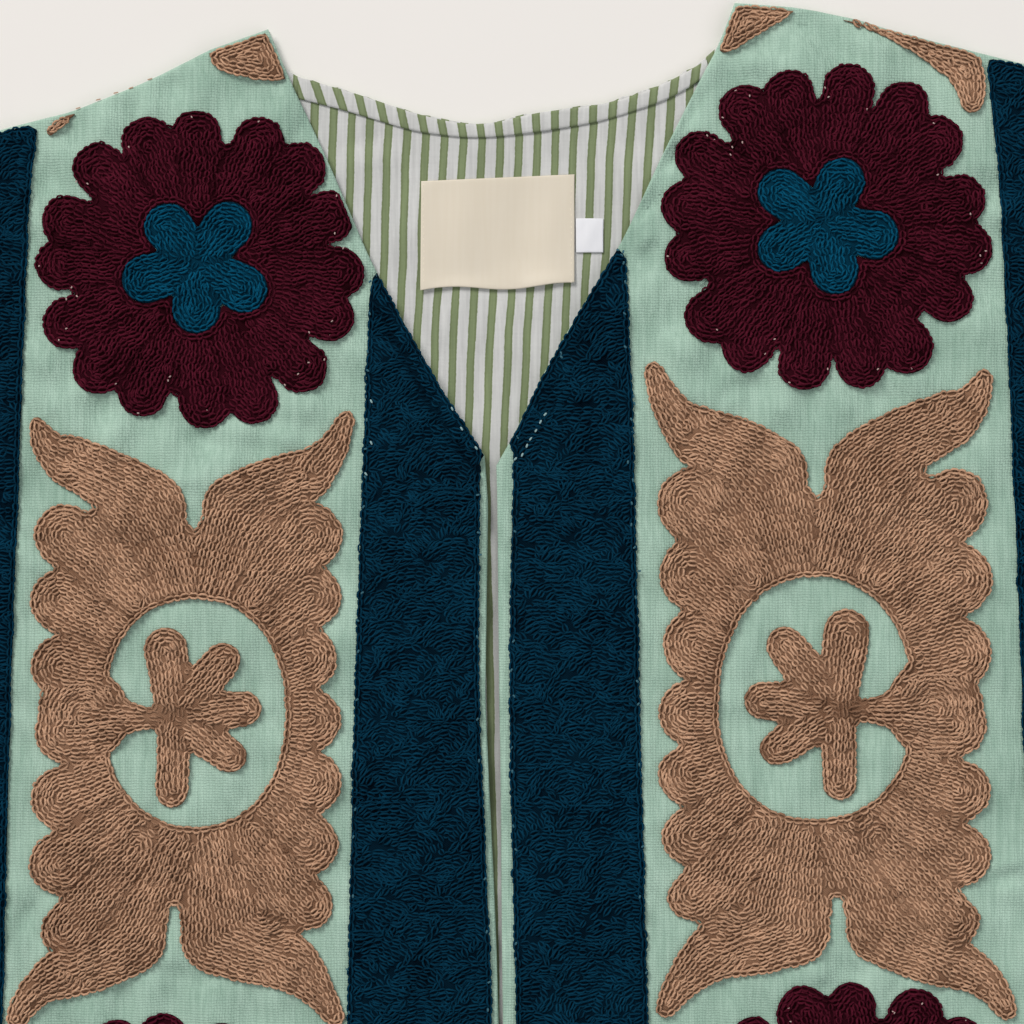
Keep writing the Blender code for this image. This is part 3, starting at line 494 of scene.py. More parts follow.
def cloth(name, node, relief, material, thickness, fine=FINE_STEP, lowest=0.0,
          edge=EDGE_ROUND, strip=False):
    """A closed shell of cloth in the place of a frame solid.

    fine is the step between the points of its upper side, its underside goes no lower than lowest, and
    edge gives how far it is rounded down by the distance from its edge. strip is not used.
    """
    loop = refined(outlines(node)[0], LINE_STEP)
    rings = [loop] + [drawn_in(loop, gap) for gap in edge[0][1:]]
    low = loop.min(axis=0)
    high = loop.max(axis=0)
    spots = spread(low, high, fine)
    finer = spread(low, high, fine / 2)
    finer = finer[relief.finely(finer)]
    spots = np.vstack([spots[~relief.finely(spots)], finer])
    spots = spots[depth_in(spots, [loop]) > edge[0][-1] + 0.35 * fine]
    flat, faces, top_at = triangulated(rings, spots)
    faces = faces[within(flat[faces].mean(axis=1), [loop])]
    from_edge = distance_to(flat, closed(loop))
    top = relief.at(flat) - np.interp(from_edge, *edge)
    step = min(COARSE_STEP, 3.5 * fine)
    coarse = spread(low, high, step)
    coarse = coarse[depth_in(coarse, [loop]) > 0.4 * step]
    under, under_faces, low_at = triangulated([loop], coarse)
    under_faces = under_faces[within(under[under_faces].mean(axis=1), [loop])]
    bottom = np.maximum(relief.at(under) - thickness, lowest)
    points = np.vstack([np.column_stack([flat, top]), np.column_stack([under, bottom])])
    made = [tuple(f) for f in faces] + [tuple(f + len(flat)) for f in under_faces[:, ::-1]]
    for a in range(len(loop)):
        b = (a + 1) % len(loop)
        made.append((low_at[a] + len(flat), low_at[b] + len(flat), top_at[b], top_at[a]))
    piece = made_of(name, points, made, material)
    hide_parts(node)
    x, y = loop.T
    area = abs((x * np.roll(y, -1) - y * np.roll(x, -1)).sum()) / 2
    cut = high - low
    if strip:
        along = np.linalg.norm(np.roll(loop, -1, axis=0) - loop, axis=1).sum() / 2
        cut = np.array([along, area / along + 2 * STRIP_TURN])
        area = cut[0] * cut[1]
    area = min(area, cut[0] * cut[1])


# Plain weave, for every cloth here: threads pass over and under each other, with thicker stretches.
weave = bpy.data.node_groups.new("plain_weave", "ShaderNodeTree")
for name, default in (("Pitch", 0.001), ("Slub length", 20.0)):
    socket = weave.interface.new_socket(name, in_out="INPUT", socket_type="NodeSocketFloat")
    socket.default_value = default
for name in ("Height", "Slub", "Patches"):
    weave.interface.new_socket(name, in_out="OUTPUT", socket_type="NodeSocketFloat")
given = add(weave, "NodeGroupInput")
result = add(weave, "NodeGroupOutput")
place = add(weave, "ShaderNodeTexCoord").outputs["Object"]
wobble = add(weave, "ShaderNodeTexNoise", {"Vector": place, "Scale": 260.0, "Detail": 1.0})
centred = add(weave, "ShaderNodeVectorMath", {0: wobble.outputs["Color"], 1: (0.5, 0.5, 0.5)},
              operation="SUBTRACT")
shifted = add(weave, "ShaderNodeVectorMath", {0: centred.outputs[0], 1: (0.0011, 0.0011, 0), 2: place},
              operation="MULTIPLY_ADD")
split = add(weave, "ShaderNodeSeparateXYZ", {0: shifted.outputs[0]})
turns = maths(weave, "DIVIDE", math.pi, given.outputs["Pitch"])
sides = [maths(weave, "SINE", maths(weave, "MULTIPLY", split.outputs[k], turns)) for k in (0, 1)]
warp = maths(weave, "ABSOLUTE", sides[0])
weft = maths(weave, "ABSOLUTE", sides[1])
over = maths(weave, "GREATER_THAN", maths(weave, "MULTIPLY", sides[0], sides[1]), 0.0)
warp_up = maths(weave, "MULTIPLY", warp, maths(weave, "MULTIPLY_ADD", weft, 0.5, 0.5))
weft_up = maths(weave, "MULTIPLY", weft, maths(weave, "MULTIPLY_ADD", warp, 0.5, 0.5))
gap = maths(weave, "SUBTRACT", warp_up, weft_up)
thread_height = maths(weave, "MULTIPLY_ADD", gap, over, weft_up)
slubs = []
for stretch in ((1.0, 0.05, 1.0), (0.06, 1.0, 1.0)):
    drawn = add(weave, "ShaderNodeVectorMath", {0: place, 1: stretch}, operation="MULTIPLY")
    slub = add(weave, "ShaderNodeTexNoise", {"Vector": drawn.outputs[0], "Scale": 620.0, "Detail": 2.0})
    slubs.append(slub.outputs["Fac"])
slub = maths(weave, "MULTIPLY_ADD", slubs[1], 0.16, maths(weave, "MULTIPLY", slubs[0], 0.84))
patches = add(weave, "ShaderNodeTexNoise", {"Vector": place, "Scale": 34.0, "Detail": 4.0})
weave.links.new(thread_height, result.inputs["Height"])
weave.links.new(slub, result.inputs["Slub"])
weave.links.new(patches.outputs["Fac"], result.inputs["Patches"])


def woven(tree, pitch):
    """The weave's group, placed in a material."""
    made = add(tree, "ShaderNodeGroup", node_tree=weave)
    made.inputs["Pitch"].default_value = pitch * MM
    return made


def contrast(tree, value, low, high):
    """A value stretched so that low becomes nothing and high becomes one."""
    made = add(tree, "ShaderNodeMapRange", {0: value, 1: low, 2: high})
    made.clamp = True
    return made.outputs[0]


mint_wool, tree, shader = finish("mint_wool", 0.92, Sheen_Weight=0.12, Sheen_Roughness=0.6)
threads = woven(tree, THREAD)
slub = contrast(tree, threads.outputs["Slub"], 0.36, 0.62)
# Painted light: the raised threads of the weave are a little lighter, besides the real slub tone.
thread_light_and_slub = maths(tree, "MULTIPLY_ADD", threads.outputs["Height"], 0.12, maths(tree, "MULTIPLY", slub, 0.34))
tone = maths(tree, "MULTIPLY_ADD", contrast(tree, threads.outputs["Patches"], 0.3, 0.7), 0.5, thread_light_and_slub)
tree.links.new(blended(tree, tone, (*MINT_DARK, 1), (*MINT_LIGHT, 1)), shader.inputs["Base Color"])
height = maths(tree, "MULTIPLY_ADD", slub, 0.5, threads.outputs["Height"])
bump = add(tree, "ShaderNodeBump", {"Strength": 0.55, "Distance": 0.0004, "Height": height})
tree.links.new(bump.outputs[0], shader.inputs["Normal"])

reliefs = {}
for side in ("left", "right"):
    node = "front_" + side
    reliefs[side] = Relief(node, creases=CREASES[node], unevenness=WOOL_UNEVENNESS, puckers=PUCKERS[node])
    cloth(node + "_cloth", node, reliefs[side], mint_wool, WOOL,
          lowest=WOOL + SEAM)
    node = "top_sleeve_" + side
    relief = Relief(node, step=6.0, creases=CREASES[node], unevenness=WOOL_UNEVENNESS)
    cloth(node + "_cloth", node, relief, mint_wool, WOOL, 6.0,
          OVER_WOOL)
    node = "under_sleeve_" + side
    relief = Relief(node, step=12.0, unevenness=0.0)
    cloth(node + "_cloth", node, relief, mint_wool, WOOL, 16.0, 0.0)
relief = Relief("back", step=12.0, unevenness=0.0)
cloth("back_cloth", "back", relief, mint_wool, WOOL, 14.0, 0.0)


# The back lining and the narrow band round the back neck: thin white cotton with sage stripes, which
# run down the back. The band is cut apart from the lining, so its stripes meet the others a little off.
COTTON = 1.0
OVER_LINING = 3.4
LINING_EDGE = ([0.0, 0.4, 1.0], [0.3, 0.1, 0.0])
BAND_EDGE = ([0.0, 0.5, 1.2], [0.55, 0.2, 0.0])
STRIPE_PITCH = 8.42
STRIPE_SHARE = 0.43
STRIPE_MIDDLE = 265.0
COTTON_THREAD = 0.62
COTTON_WHITE = (0.80, 0.795, 0.775)
STRIPE_SAGE = (0.275, 0.340, 0.172)
STRIPE_EDGE = (0.215, 0.270, 0.120)
LINING_CREASES = [
    Crease(-4, 146, 84, 70, 3.4, 0.55, 1.5),
    Crease(-13, 158, 80, 60, 3.2, -0.5, 1),
    Crease(6, 158, 96, 60, 3.4, -0.45, 1),
    Crease(-30, 178, 70, 50, 4.0, 0.4, 1),
    Crease(24, 188, 106, 44, 4.0, 0.35, 1),
    Crease(-66, 262, 15, 44, 3.0, -0.45, 1),
    Crease(-62, 252, 12, 46, 3.4, 0.35, 1),
    Crease(-52, 232, 84, 40, 4.0, -0.3, 1),
    Crease(52, 262, 165, 36, 3.4, -0.35, 1),
    Crease(2, 186, 4, 60, 3.4, 0.3, 1),
]
# Below the neck the fronts cover the lining. Where it shows in the gap between them it is darkened as
# painted shade from the fronts, and its stripes bend aside with the gap.
GAP_SHADE_FROM = 132.0
GAP_SHADE_TO = 104.0
GAP_SHADE = 0.68
STRIPE_BEND = 0.0676
BEND_FROM = 125.0

stripes = bpy.data.node_groups.new("stripes", "ShaderNodeTree")
for name, default in (("Pitch", 0.0085), ("Share", 0.45), ("Lean", 0.0), ("Start", 0.0), ("Slant", 0.0),
                      ("Middle", 0.265), ("Bend", 0.0), ("Bend from", 0.125)):
    socket = stripes.interface.new_socket(name, in_out="INPUT", socket_type="NodeSocketFloat")
    socket.default_value = default
for name in ("Stripe", "Stripe edge"):
    stripes.interface.new_socket(name, in_out="OUTPUT", socket_type="NodeSocketFloat")
given = add(stripes, "NodeGroupInput")
result = add(stripes, "NodeGroupOutput")
place = add(stripes, "ShaderNodeTexCoord").outputs["Object"]
drift = add(stripes, "ShaderNodeTexNoise", {"Vector": place, "Scale": 22.0, "Detail": 2.0})
fray = add(stripes, "ShaderNodeTexNoise", {"Vector": place, "Scale": 700.0, "Detail": 1.0})
split = add(stripes, "ShaderNodeSeparateXYZ", {0: place})
up = maths(stripes, "SUBTRACT", split.outputs[1], given.outputs["Middle"])
fan = maths(stripes, "MULTIPLY", split.outputs[0], up)
across = maths(stripes, "MULTIPLY_ADD", fan, given.outputs["Lean"], split.outputs[0])
across = maths(stripes, "ADD", across, given.outputs["Start"])
across = maths(stripes, "MULTIPLY_ADD", up, given.outputs["Slant"], across)
below = maths(stripes, "SUBTRACT", split.outputs[1], given.outputs["Bend from"])
below = maths(stripes, "MINIMUM", below, 0.0)
across = maths(stripes, "MULTIPLY_ADD", below, given.outputs["Bend"], across)
across = maths(stripes, "MULTIPLY_ADD", drift.outputs["Fac"], 0.003, across)
across = maths(stripes, "MULTIPLY_ADD", fray.outputs["Fac"], 0.0004, across)
turn = maths(stripes, "FRACT", maths(stripes, "DIVIDE", across, given.outputs["Pitch"]))
off = maths(stripes, "ABSOLUTE", maths(stripes, "SUBTRACT", turn, 0.5))
half_width = maths(stripes, "MULTIPLY", given.outputs["Share"], 0.5)
mask = maths(stripes, "SUBTRACT", half_width, off)
stripe = contrast(stripes, mask, -0.012, 0.012)
rim = contrast(stripes, maths(stripes, "ABSOLUTE", maths(stripes, "SUBTRACT", mask, 0.055)), 0.055, 0.02)
stripes.links.new(stripe, result.inputs["Stripe"])
stripes.links.new(rim, result.inputs["Stripe edge"])


def striped_cotton(name, lean, start, slant):
    """White cotton with sage stripes that fan out by lean, begin at start and run at a slant."""
    made, tree, shader = finish(name, 0.85)
    threads = woven(tree, COTTON_THREAD)
    marks = add(tree, "ShaderNodeGroup", node_tree=stripes)
    marks.inputs["Pitch"].default_value = STRIPE_PITCH * MM
    marks.inputs["Share"].default_value = STRIPE_SHARE
    marks.inputs["Lean"].default_value = lean
    marks.inputs["Start"].default_value = start * MM
    marks.inputs["Slant"].default_value = slant
    marks.inputs["Middle"].default_value = STRIPE_MIDDLE * MM
    marks.inputs["Bend"].default_value = STRIPE_BEND
    marks.inputs["Bend from"].default_value = BEND_FROM * MM
    slub = contrast(tree, threads.outputs["Slub"], 0.34, 0.64)
    sage = blended(tree, marks.outputs["Stripe edge"], (*STRIPE_SAGE, 1), (*STRIPE_EDGE, 1))
    colour = blended(tree, marks.outputs["Stripe"], (*COTTON_WHITE, 1), sage)
    shade = maths(tree, "MULTIPLY_ADD", threads.outputs["Patches"], 0.26, 0.61)
    shade = maths(tree, "MULTIPLY_ADD", slub, 0.14, shade)
    # Painted shade: the lining darkens below the neck towards the gap, where the fronts shade it.
    up = add(tree, "ShaderNodeSeparateXYZ", {0: add(tree, "ShaderNodeTexCoord").outputs["Object"]})
    darkened = add(tree, "ShaderNodeMapRange",
               {0: up.outputs[1], 1: GAP_SHADE_FROM * MM, 2: GAP_SHADE_TO * MM, 3: 1.0, 4: GAP_SHADE})
    shade = maths(tree, "MULTIPLY", shade, darkened.outputs[0])
    toned = add(tree, "ShaderNodeVectorMath", {0: colour, 3: shade}, operation="SCALE")
    tree.links.new(toned.outputs[0], shader.inputs["Base Color"])
    height = threads.outputs["Height"]
    bump = add(tree, "ShaderNodeBump", {"Strength": 0.4, "Distance": 0.0002, "Height": height})
    tree.links.new(bump.outputs[0], shader.inputs["Normal"])
    return made


lining_cotton = striped_cotton("striped_cotton", -0.15, -0.64, -0.05)
band_cotton = striped_cotton("band_cotton", -2.7, -0.3, 0.07)
lining_relief = Relief("back_lining", step=3.0, creases=LINING_CREASES, unevenness=0.58)
cloth("back_lining_cloth", "back_lining", lining_relief, lining_cotton, COTTON, 6.5,
      OVER_WOOL, LINING_EDGE)
relief = Relief("neck_band", step=3.0, softening=1, unevenness=0.05)
cloth("neck_band_cloth", "neck_band", relief, band_cotton, COTTON, 3.0,
      OVER_LINING, BAND_EDGE, strip=True)


# The woven label, of cream satin ribbon sewn down its two short sides, with its lower edge left free so
# that it waves, and the small white tape beside it. Both are left bare.
LABEL_WALL = 0.7
OVER_RIPPLES = 3.45
RIBBON_EDGE = ([0.0, 0.3, 0.8], [0.22, 0.06, 0.0])
CREAM = (0.765, 0.675, 0.535)
CREAM_LIGHT = (0.815, 0.730, 0.600)
TAPE_WHITE = (0.92, 0.915, 0.95)
LABEL_CREASES = [
    Crease(-20, 222, 96, 60, 9.0, 0.55, 2),
    Crease(6, 226, 92, 60, 8.0, -0.45, 2),
    Crease(20, 222, 86, 60, 6.0, 0.3, 1),
    Crease(-22, 195.5, 2, 52, 4.5, 0.6, 0),
    Crease(16, 197.5, 2, 34, 4.5, 0.5, 0),
]
TAB_CREASES = [Crease(35, 220, 80, 20, 3.0, 0.3, 0)]
TACKS = 17
TACK_LENGTH = 1.3
TACK_THICK = 0.45
TACK_INSET = 1.5


def ribbon(name, light, dark, roughness, pitch):
    """A smooth woven tape whose long floats lie across it."""
    made, tree, shader = finish(name, roughness, Sheen_Weight=0.2)
    threads = woven(tree, pitch)
    slub = contrast(tree, threads.outputs["Slub"], 0.38, 0.62)
    tone = maths(tree, "MULTIPLY_ADD", slub, 0.3, maths(tree, "MULTIPLY", threads.outputs["Patches"], 0.7))
    tree.links.new(blended(tree, tone, (*dark, 1), (*light, 1)), shader.inputs["Base Color"])
    height = threads.outputs["Height"]
    bump = add(tree, "ShaderNodeBump", {"Strength": 0.2, "Distance": 0.0001, "Height": height})
    tree.links.new(bump.outputs[0], shader.inputs["Normal"])
    return made


def dashes(name, places, headings, length, thick, heights, material):
    """Short stitches that each show as a low rounded bead of thread."""
    ring = [(-0.5, 0.0, 0.0), (-0.3, 0.5, 0.0), (0.3, 0.5, 0.0), (0.5, 0.0, 0.0), (0.3, -0.5, 0.0),
            (-0.3, -0.5, 0.0), (-0.28, 0.0, 0.8), (0.28, 0.0, 0.8)]
    sides = [(0, 6, 1), (1, 6, 7, 2), (2, 7, 3), (3, 7, 4), (4, 7, 6, 5), (5, 6, 0), (0, 1, 2, 3, 4, 5)]
    points = []
    faces = []
    for (x, y), turn, z in zip(places, headings, heights):
        first = len(points)
        for along, across, up in ring:
            points.append((x + along * length * math.cos(turn) - across * thick * math.sin(turn),
                           y + along * length * math.sin(turn) + across * thick * math.cos(turn),
                           z + up * thick))
        faces.extend(tuple(first + k for k in side[::-1]) for side in sides[:-1])
        faces.append(tuple(first + k for k in sides[-1]))
    made_of(name, np.array(points), faces, material)


label_satin = ribbon("label_satin", CREAM_LIGHT, CREAM, 0.5, 0.34)
label_relief = Relief("label", step=2.0, softening=2, creases=LABEL_CREASES, unevenness=0.06)
cloth("label_ribbon", "label", label_relief, label_satin, LABEL_WALL, 2.4,
      OVER_RIPPLES, RIBBON_EDGE)
tape = ribbon("white_tape", TAPE_WHITE, tuple(0.93 * part for part in TAPE_WHITE), 0.7, 0.3)
relief = Relief("size_tab", step=2.0, softening=1, creases=TAB_CREASES, unevenness=0.1)
cloth("size_tab_tape", "size_tab", relief, tape, LABEL_WALL, 2.2,
      OVER_LINING, RIBBON_EDGE)
low = outlines("label")[0].min(axis=0)
high = outlines("label")[0].max(axis=0)
rng = np.random.default_rng(11)
spots = []
for x in (low[0] + TACK_INSET, high[0] - TACK_INSET):
    for y in np.linspace(low[1] + 4, high[1] - 5, TACKS):
        spots.append((x + rng.normal(0, 0.15), y + rng.normal(0, 0.2)))
spots = np.array(spots)
headings = math.pi / 2 + rng.normal(0, 0.12, len(spots))
tack_thread, tree, shader = finish("tack_thread", 0.8)
shine = add(tree, "ShaderNodeTexNoise", {"Scale": 900.0, "Detail": 1.0})
paler = tuple(min(1.0, 1.25 * part) for part in CREAM_LIGHT)
tree.links.new(blended(tree, shine.outputs["Fac"], (*CREAM, 1), (*paler, 1)), shader.inputs["Base Color"])
dashes("label_tacks", spots, headings, TACK_LENGTH, TACK_THICK, label_relief.at(spots) - 0.1, tack_thread)


# The embroidered bands down the centre fronts and the sides: thick wool yarn in dark teal, worked in chain
# stitch in overlapping arches, with a straight row along every edge. Each link is two arms of yarn.
STITCH_PILE = 1.9
STRAND = 0.18
PAD = 0.75
PAD_GAP = 0.02
# Painted shade: the pad under the links is low in light, so that it reads as shade between them.
PAD_SHADE_LIFT = 0.05
PAD_STEP = 7.0
PAD_LINE = 2.5
CORNER = 40.0
GRID_STEP = 1.0
FILL_FROM = 0.58
FILL_PITCH = 0.8
STEEPEST = 1.7
BAND_ROW = 2.7
BAND_LINK = 4.05
BAND_STRAY = 0.25
# Painted shade: the bands' pad is darker still.
BAND_PAD_SHADE_TONE = 0.1
BAND_SEEDS = {"front_band_": 21, "side_band_": 23}
ARCH_PITCH = 20.0
ARCH_SPACING = 1.4
ARCH_SQUASH = (0.85, 1.3)
ARCH_COVER = (0.78, 1.05)
TEAL_DARK = (0.0002, 0.0015, 0.0040)
TEAL_LIGHT = (0.0034, 0.047, 0.092)
# At the neck each front is folded back under its band: the folded edge from the centre up, how high the
# roll of the fold stands by the distance from it, and the place, width and strength of the groove beside,
# where the stitches are lowered and darkened as painted shade.
NECK_EDGES = {
    "right": [(-12.2, 120.5), (-32.5, 152), (-50.5, 184), (-63, 207.5), (-83, 253.5)],
    "left": [(-7.2, 116), (1.4, 131.5), (12.6, 154.5), (30.5, 186), (49.5, 217.5), (66.5, 253.5)],
}
ROLLS = {"right": ([0, 3.2, 6.2, 7.8, 9.6], [0.7, 2.5, 0.8, -0.75, 0]),
         "left": ([0, 2.2, 4.4, 6.0, 7.5], [0.25, 0.7, 0.1, -0.3, 0])}
GROOVES = {"right": (7.8, 1.5, 0.95), "left": (6.0, 0.9, 0.4)}
NECK_REACH = 3.0
FOLD_REACH = 12.0
FOLDED_PAD_STEP = 1.9
# In a furrow or a groove a stitch keeps these shares of its height, its tone and its lightness. The lost
# tone and lightness are painted shade.
FURROW_PILE = 0.62
FURROW_SHADE_TONE = 0.05
FURROW_SHADE_LIFT = 0.15

# Wool yarn, for all the stitching, with twisted plies: lighter where a strand stands up and darker between,
# as painted light and shade.
yarn = bpy.data.node_groups.new("wool_yarn", "ShaderNodeTree")
for name in ("Dark", "Light"):
    yarn.interface.new_socket(name, in_out="INPUT", socket_type="NodeSocketColor")
for name in ("Tone", "Lift"):
    yarn.interface.new_socket(name, in_out="INPUT", socket_type="NodeSocketFloat")
yarn.interface.new_socket("Along", in_out="INPUT", socket_type="NodeSocketVector")
yarn.interface.new_socket("Color", in_out="OUTPUT", socket_type="NodeSocketColor")
yarn.interface.new_socket("Height", in_out="OUTPUT", socket_type="NodeSocketFloat")
given = add(yarn, "NodeGroupInput")
result = add(yarn, "NodeGroupOutput")
place = add(yarn, "ShaderNodeTexCoord").outputs["Object"]
clouds = add(yarn, "ShaderNodeTexNoise", {"Vector": place, "Scale": 45.0, "Detail": 3.0})
fuzz = add(yarn, "ShaderNodeTexNoise", {"Vector": place, "Scale": 2200.0, "Detail": 2.0})
plies = add(yarn, "ShaderNodeSeparateXYZ", {0: given.outputs["Along"]})
round_strand = maths(yarn, "MULTIPLY", plies.outputs[1], 6.3)
twist = maths(yarn, "MULTIPLY_ADD", plies.outputs[0], 5.2, round_strand)
ply = maths(yarn, "MULTIPLY_ADD", maths(yarn, "SINE", twist), 0.5, 0.5)
# Painted light and shade: a strand's painted light sets most of how light it is.
share = maths(yarn, "MULTIPLY_ADD", given.outputs["Lift"], 0.62, -0.12)
share = maths(yarn, "MULTIPLY_ADD", given.outputs["Tone"], 0.34, share)
share = maths(yarn, "MULTIPLY_ADD", contrast(yarn, clouds.outputs["Fac"], 0.3, 0.7), 0.2, share)
share = maths(yarn, "MULTIPLY_ADD", ply, 0.1, share)
share = maths(yarn, "MULTIPLY_ADD", fuzz.outputs["Fac"], 0.12, share)
share = add(yarn, "ShaderNodeClamp", {0: share}).outputs[0]
yarn.links.new(blended(yarn, share, given.outputs["Dark"], given.outputs["Light"]), result.inputs["Color"])
yarn.links.new(maths(yarn, "MULTIPLY_ADD", fuzz.outputs["Fac"], 0.4, ply), result.inputs["Height"])


def yarn_finish(name, dark, light):
    """Wool yarn of one colour."""
    made, tree, shader = finish(name, 0.95, Specular_IOR_Level=0.03)
    wool = add(tree, "ShaderNodeGroup", node_tree=yarn)
    wool.inputs["Dark"].default_value = (*dark, 1)
    wool.inputs["Light"].default_value = (*light, 1)
    for key in ("Tone", "Lift"):
        read = add(tree, "ShaderNodeAttribute", attribute_name=key.lower())
        tree.links.new(read.outputs["Fac"], wool.inputs[key])
    along = add(tree, "ShaderNodeUVMap", uv_map="strand")
    tree.links.new(along.outputs[0], wool.inputs["Along"])
    tree.links.new(wool.outputs["Color"], shader.inputs["Base Color"])
    height = wool.outputs["Height"]
    bump = add(tree, "ShaderNodeBump", {"Strength": 0.5, "Distance": 0.0002, "Height": height})
    tree.links.new(bump.outputs[0], shader.inputs["Normal"])
    return made


def lines_at(field, region, level, xs, ys):
    """The lines of a field of heights at one level, as lists of points, kept to a region."""
    above = field > level
    count = above[:-1, :-1].astype(int) + above[1:, :-1] + above[1:, 1:] + above[:-1, 1:]
    kept = region[:-1, :-1] & region[1:, :-1] & region[1:, 1:] & region[:-1, 1:]
    after = {}
    place = {}
    for i, j in zip(*(part.tolist() for part in np.nonzero((count > 0) & (count < 4) & kept))):
        around = ((i, j), (i + 1, j), (i + 1, j + 1), (i, j + 1))
        names = ((0, i, j), (1, i + 1, j), (0, i, j + 1), (1, i, j))
        crossed = []
        for k in range(4):
            a = around[k]
            b = around[(k + 1) % 4]
            if above[a] == above[b]:
                continue
            share = (level - field[a]) / (field[b] - field[a])
            place[names[k]] = (xs[a[0]] + share * (xs[b[0]] - xs[a[0]]),
                               ys[a[1]] + share * (ys[b[1]] - ys[a[1]]))
            crossed.append((names[k], above[a]))
        for k, (name, leaving) in enumerate(crossed):
            if leaving:
                after[name] = crossed[(k + 1) % len(crossed)][0]
    found = []
    for begin in [name for name in after if name not in set(after.values())] + list(after):
        line = []
        name = begin
        while name in after:
            line.append(place[name])
            name = after.pop(name)
        if line:
            found.append(np.array(line + [place[name]]))
    return found


def strayed(points, size, length):
    """Points moved about by soft waves, as rows stray in handwork."""
    x = points[..., 0] / length
    y = points[..., 1] / length
    aside = np.sin(1.7 * x + 2.1 * np.sin(0.9 * y)) + 0.6 * np.sin(2.9 * y + 1.4 * np.sin(1.3 * x))
    ahead = np.sin(1.9 * y + 1.8 * np.sin(1.1 * x + 2)) + 0.6 * np.sin(2.6 * x + 1.2 * np.sin(1.7 * y))
    return points + size * np.stack([aside, ahead], axis=-1)


def unit(vectors):
    """Vectors in the same directions, each as long as one."""
    return vectors / np.maximum(np.linalg.norm(vectors, axis=-1, keepdims=True), 1e-9)


def stitch_rows(points, depth, field, row, link, xs, ys, fill_depth=0.5):
    """Lines for rows of stitches: one along the outline, and the rest along the field's levels.

    Where the rows leave a bare place that is deep enough, single stitches fill it.
    """
    step = xs[1] - xs[0]
    rows = lines_at(depth, np.ones(depth.shape, bool), 0.5 * row, xs, ys)
    slope = np.stack(np.gradient(field, step), axis=-1)
    inner = (depth > 0.92 * row) & (np.linalg.norm(slope, axis=-1) < STEEPEST)
    if inner.any():
        first = math.floor(field[inner].min() / row)
        last = math.ceil(field[inner].max() / row)
        for k in range(first, last + 1):
            rows.extend(lines_at(field, inner, (k + 0.5) * row, xs, ys))
    rows = [line for line in rows if np.linalg.norm(np.diff(line, axis=0), axis=1).sum() > 0.5 * link]
    stitched = np.vstack([halved(halved(line)) for line in rows])
    tree = KDTree(len(stitched))
    for k, (x, y) in enumerate(stitched):
        tree.insert((x, y, 0), k)
    tree.balance()
    for spot in spread(points[0, 0], points[-2, -2], FILL_PITCH * row):
        cell = np.round((spot - points[0, 0]) / step).astype(int)
        i, j = np.minimum(cell, np.array(depth.shape) - 1)
        if depth[i, j] > fill_depth * row and tree.find((*spot, 0))[2] > FILL_FROM * row:
            reach = 0.5 * link * unit(np.array([-slope[i, j][1], slope[i, j][0]]))
            rows.append(np.array([spot - reach, spot + reach]))
    return rows


def halved(line):
    """A line with a point more in the middle of each step."""
    middle = (line[:-1] + line[1:]) / 2
    return np.vstack([np.stack([line[:-1], middle], axis=1).reshape(-1, 2), line[-1:]])


def links_on(rows, length, rng, stray):
    """The start, end and next end of every link, a little uneven, on rows of stitches."""
    starts = []
    for row in rows:
        steps = np.linalg.norm(np.diff(row, axis=0), axis=1)
        gone = np.concatenate([[0], np.cumsum(steps)])
        count = int(round(gone[-1] / length))
        if count < 1:
            continue
        marks = np.linspace(0, gone[-1], count + 1)
        marks[1:-1] += rng.normal(0, 0.11 * length, count - 1)
        points = np.stack([np.interp(marks, gone, row[:, k]) for k in (0, 1)], axis=1)
        points += rng.normal(0, stray, points.shape)
        ahead = 2 * points[-1] - points[-2]
        if np.linalg.norm(row[0] - row[-1]) < 0.5 * length:
            points[-1] = points[0]
            ahead = points[1]
        line = np.vstack([points, ahead])
        starts.append(np.stack([line[:-2], line[1:-1], line[2:]], axis=1))
    return np.vstack(starts)


# An arm of a link, from its root to where it goes under the next: shares of the link and of the row.
ARM = {"along": [-0.05, 0.2, 0.52, 0.88, 1.2], "across": [0.04, 0.22, 0.36, 0.33, 0.12],
       "up": [0.35, 0.85, 1.0, 0.88, 0.42], "thick": [0.75, 1.0, 1.06, 1.0, 0.8]}
ARM_COARSE = {"along": [-0.05, 0.35, 0.78, 1.18], "across": [0.04, 0.34, 0.35, 0.10],
              "up": [0.35, 1.0, 0.95, 0.42], "thick": [0.8, 1.05, 1.05, 0.8]}


def lessened(share, least):
    """A share from the least to one, for a share from nothing to one."""
    return least + (1 - least) * share


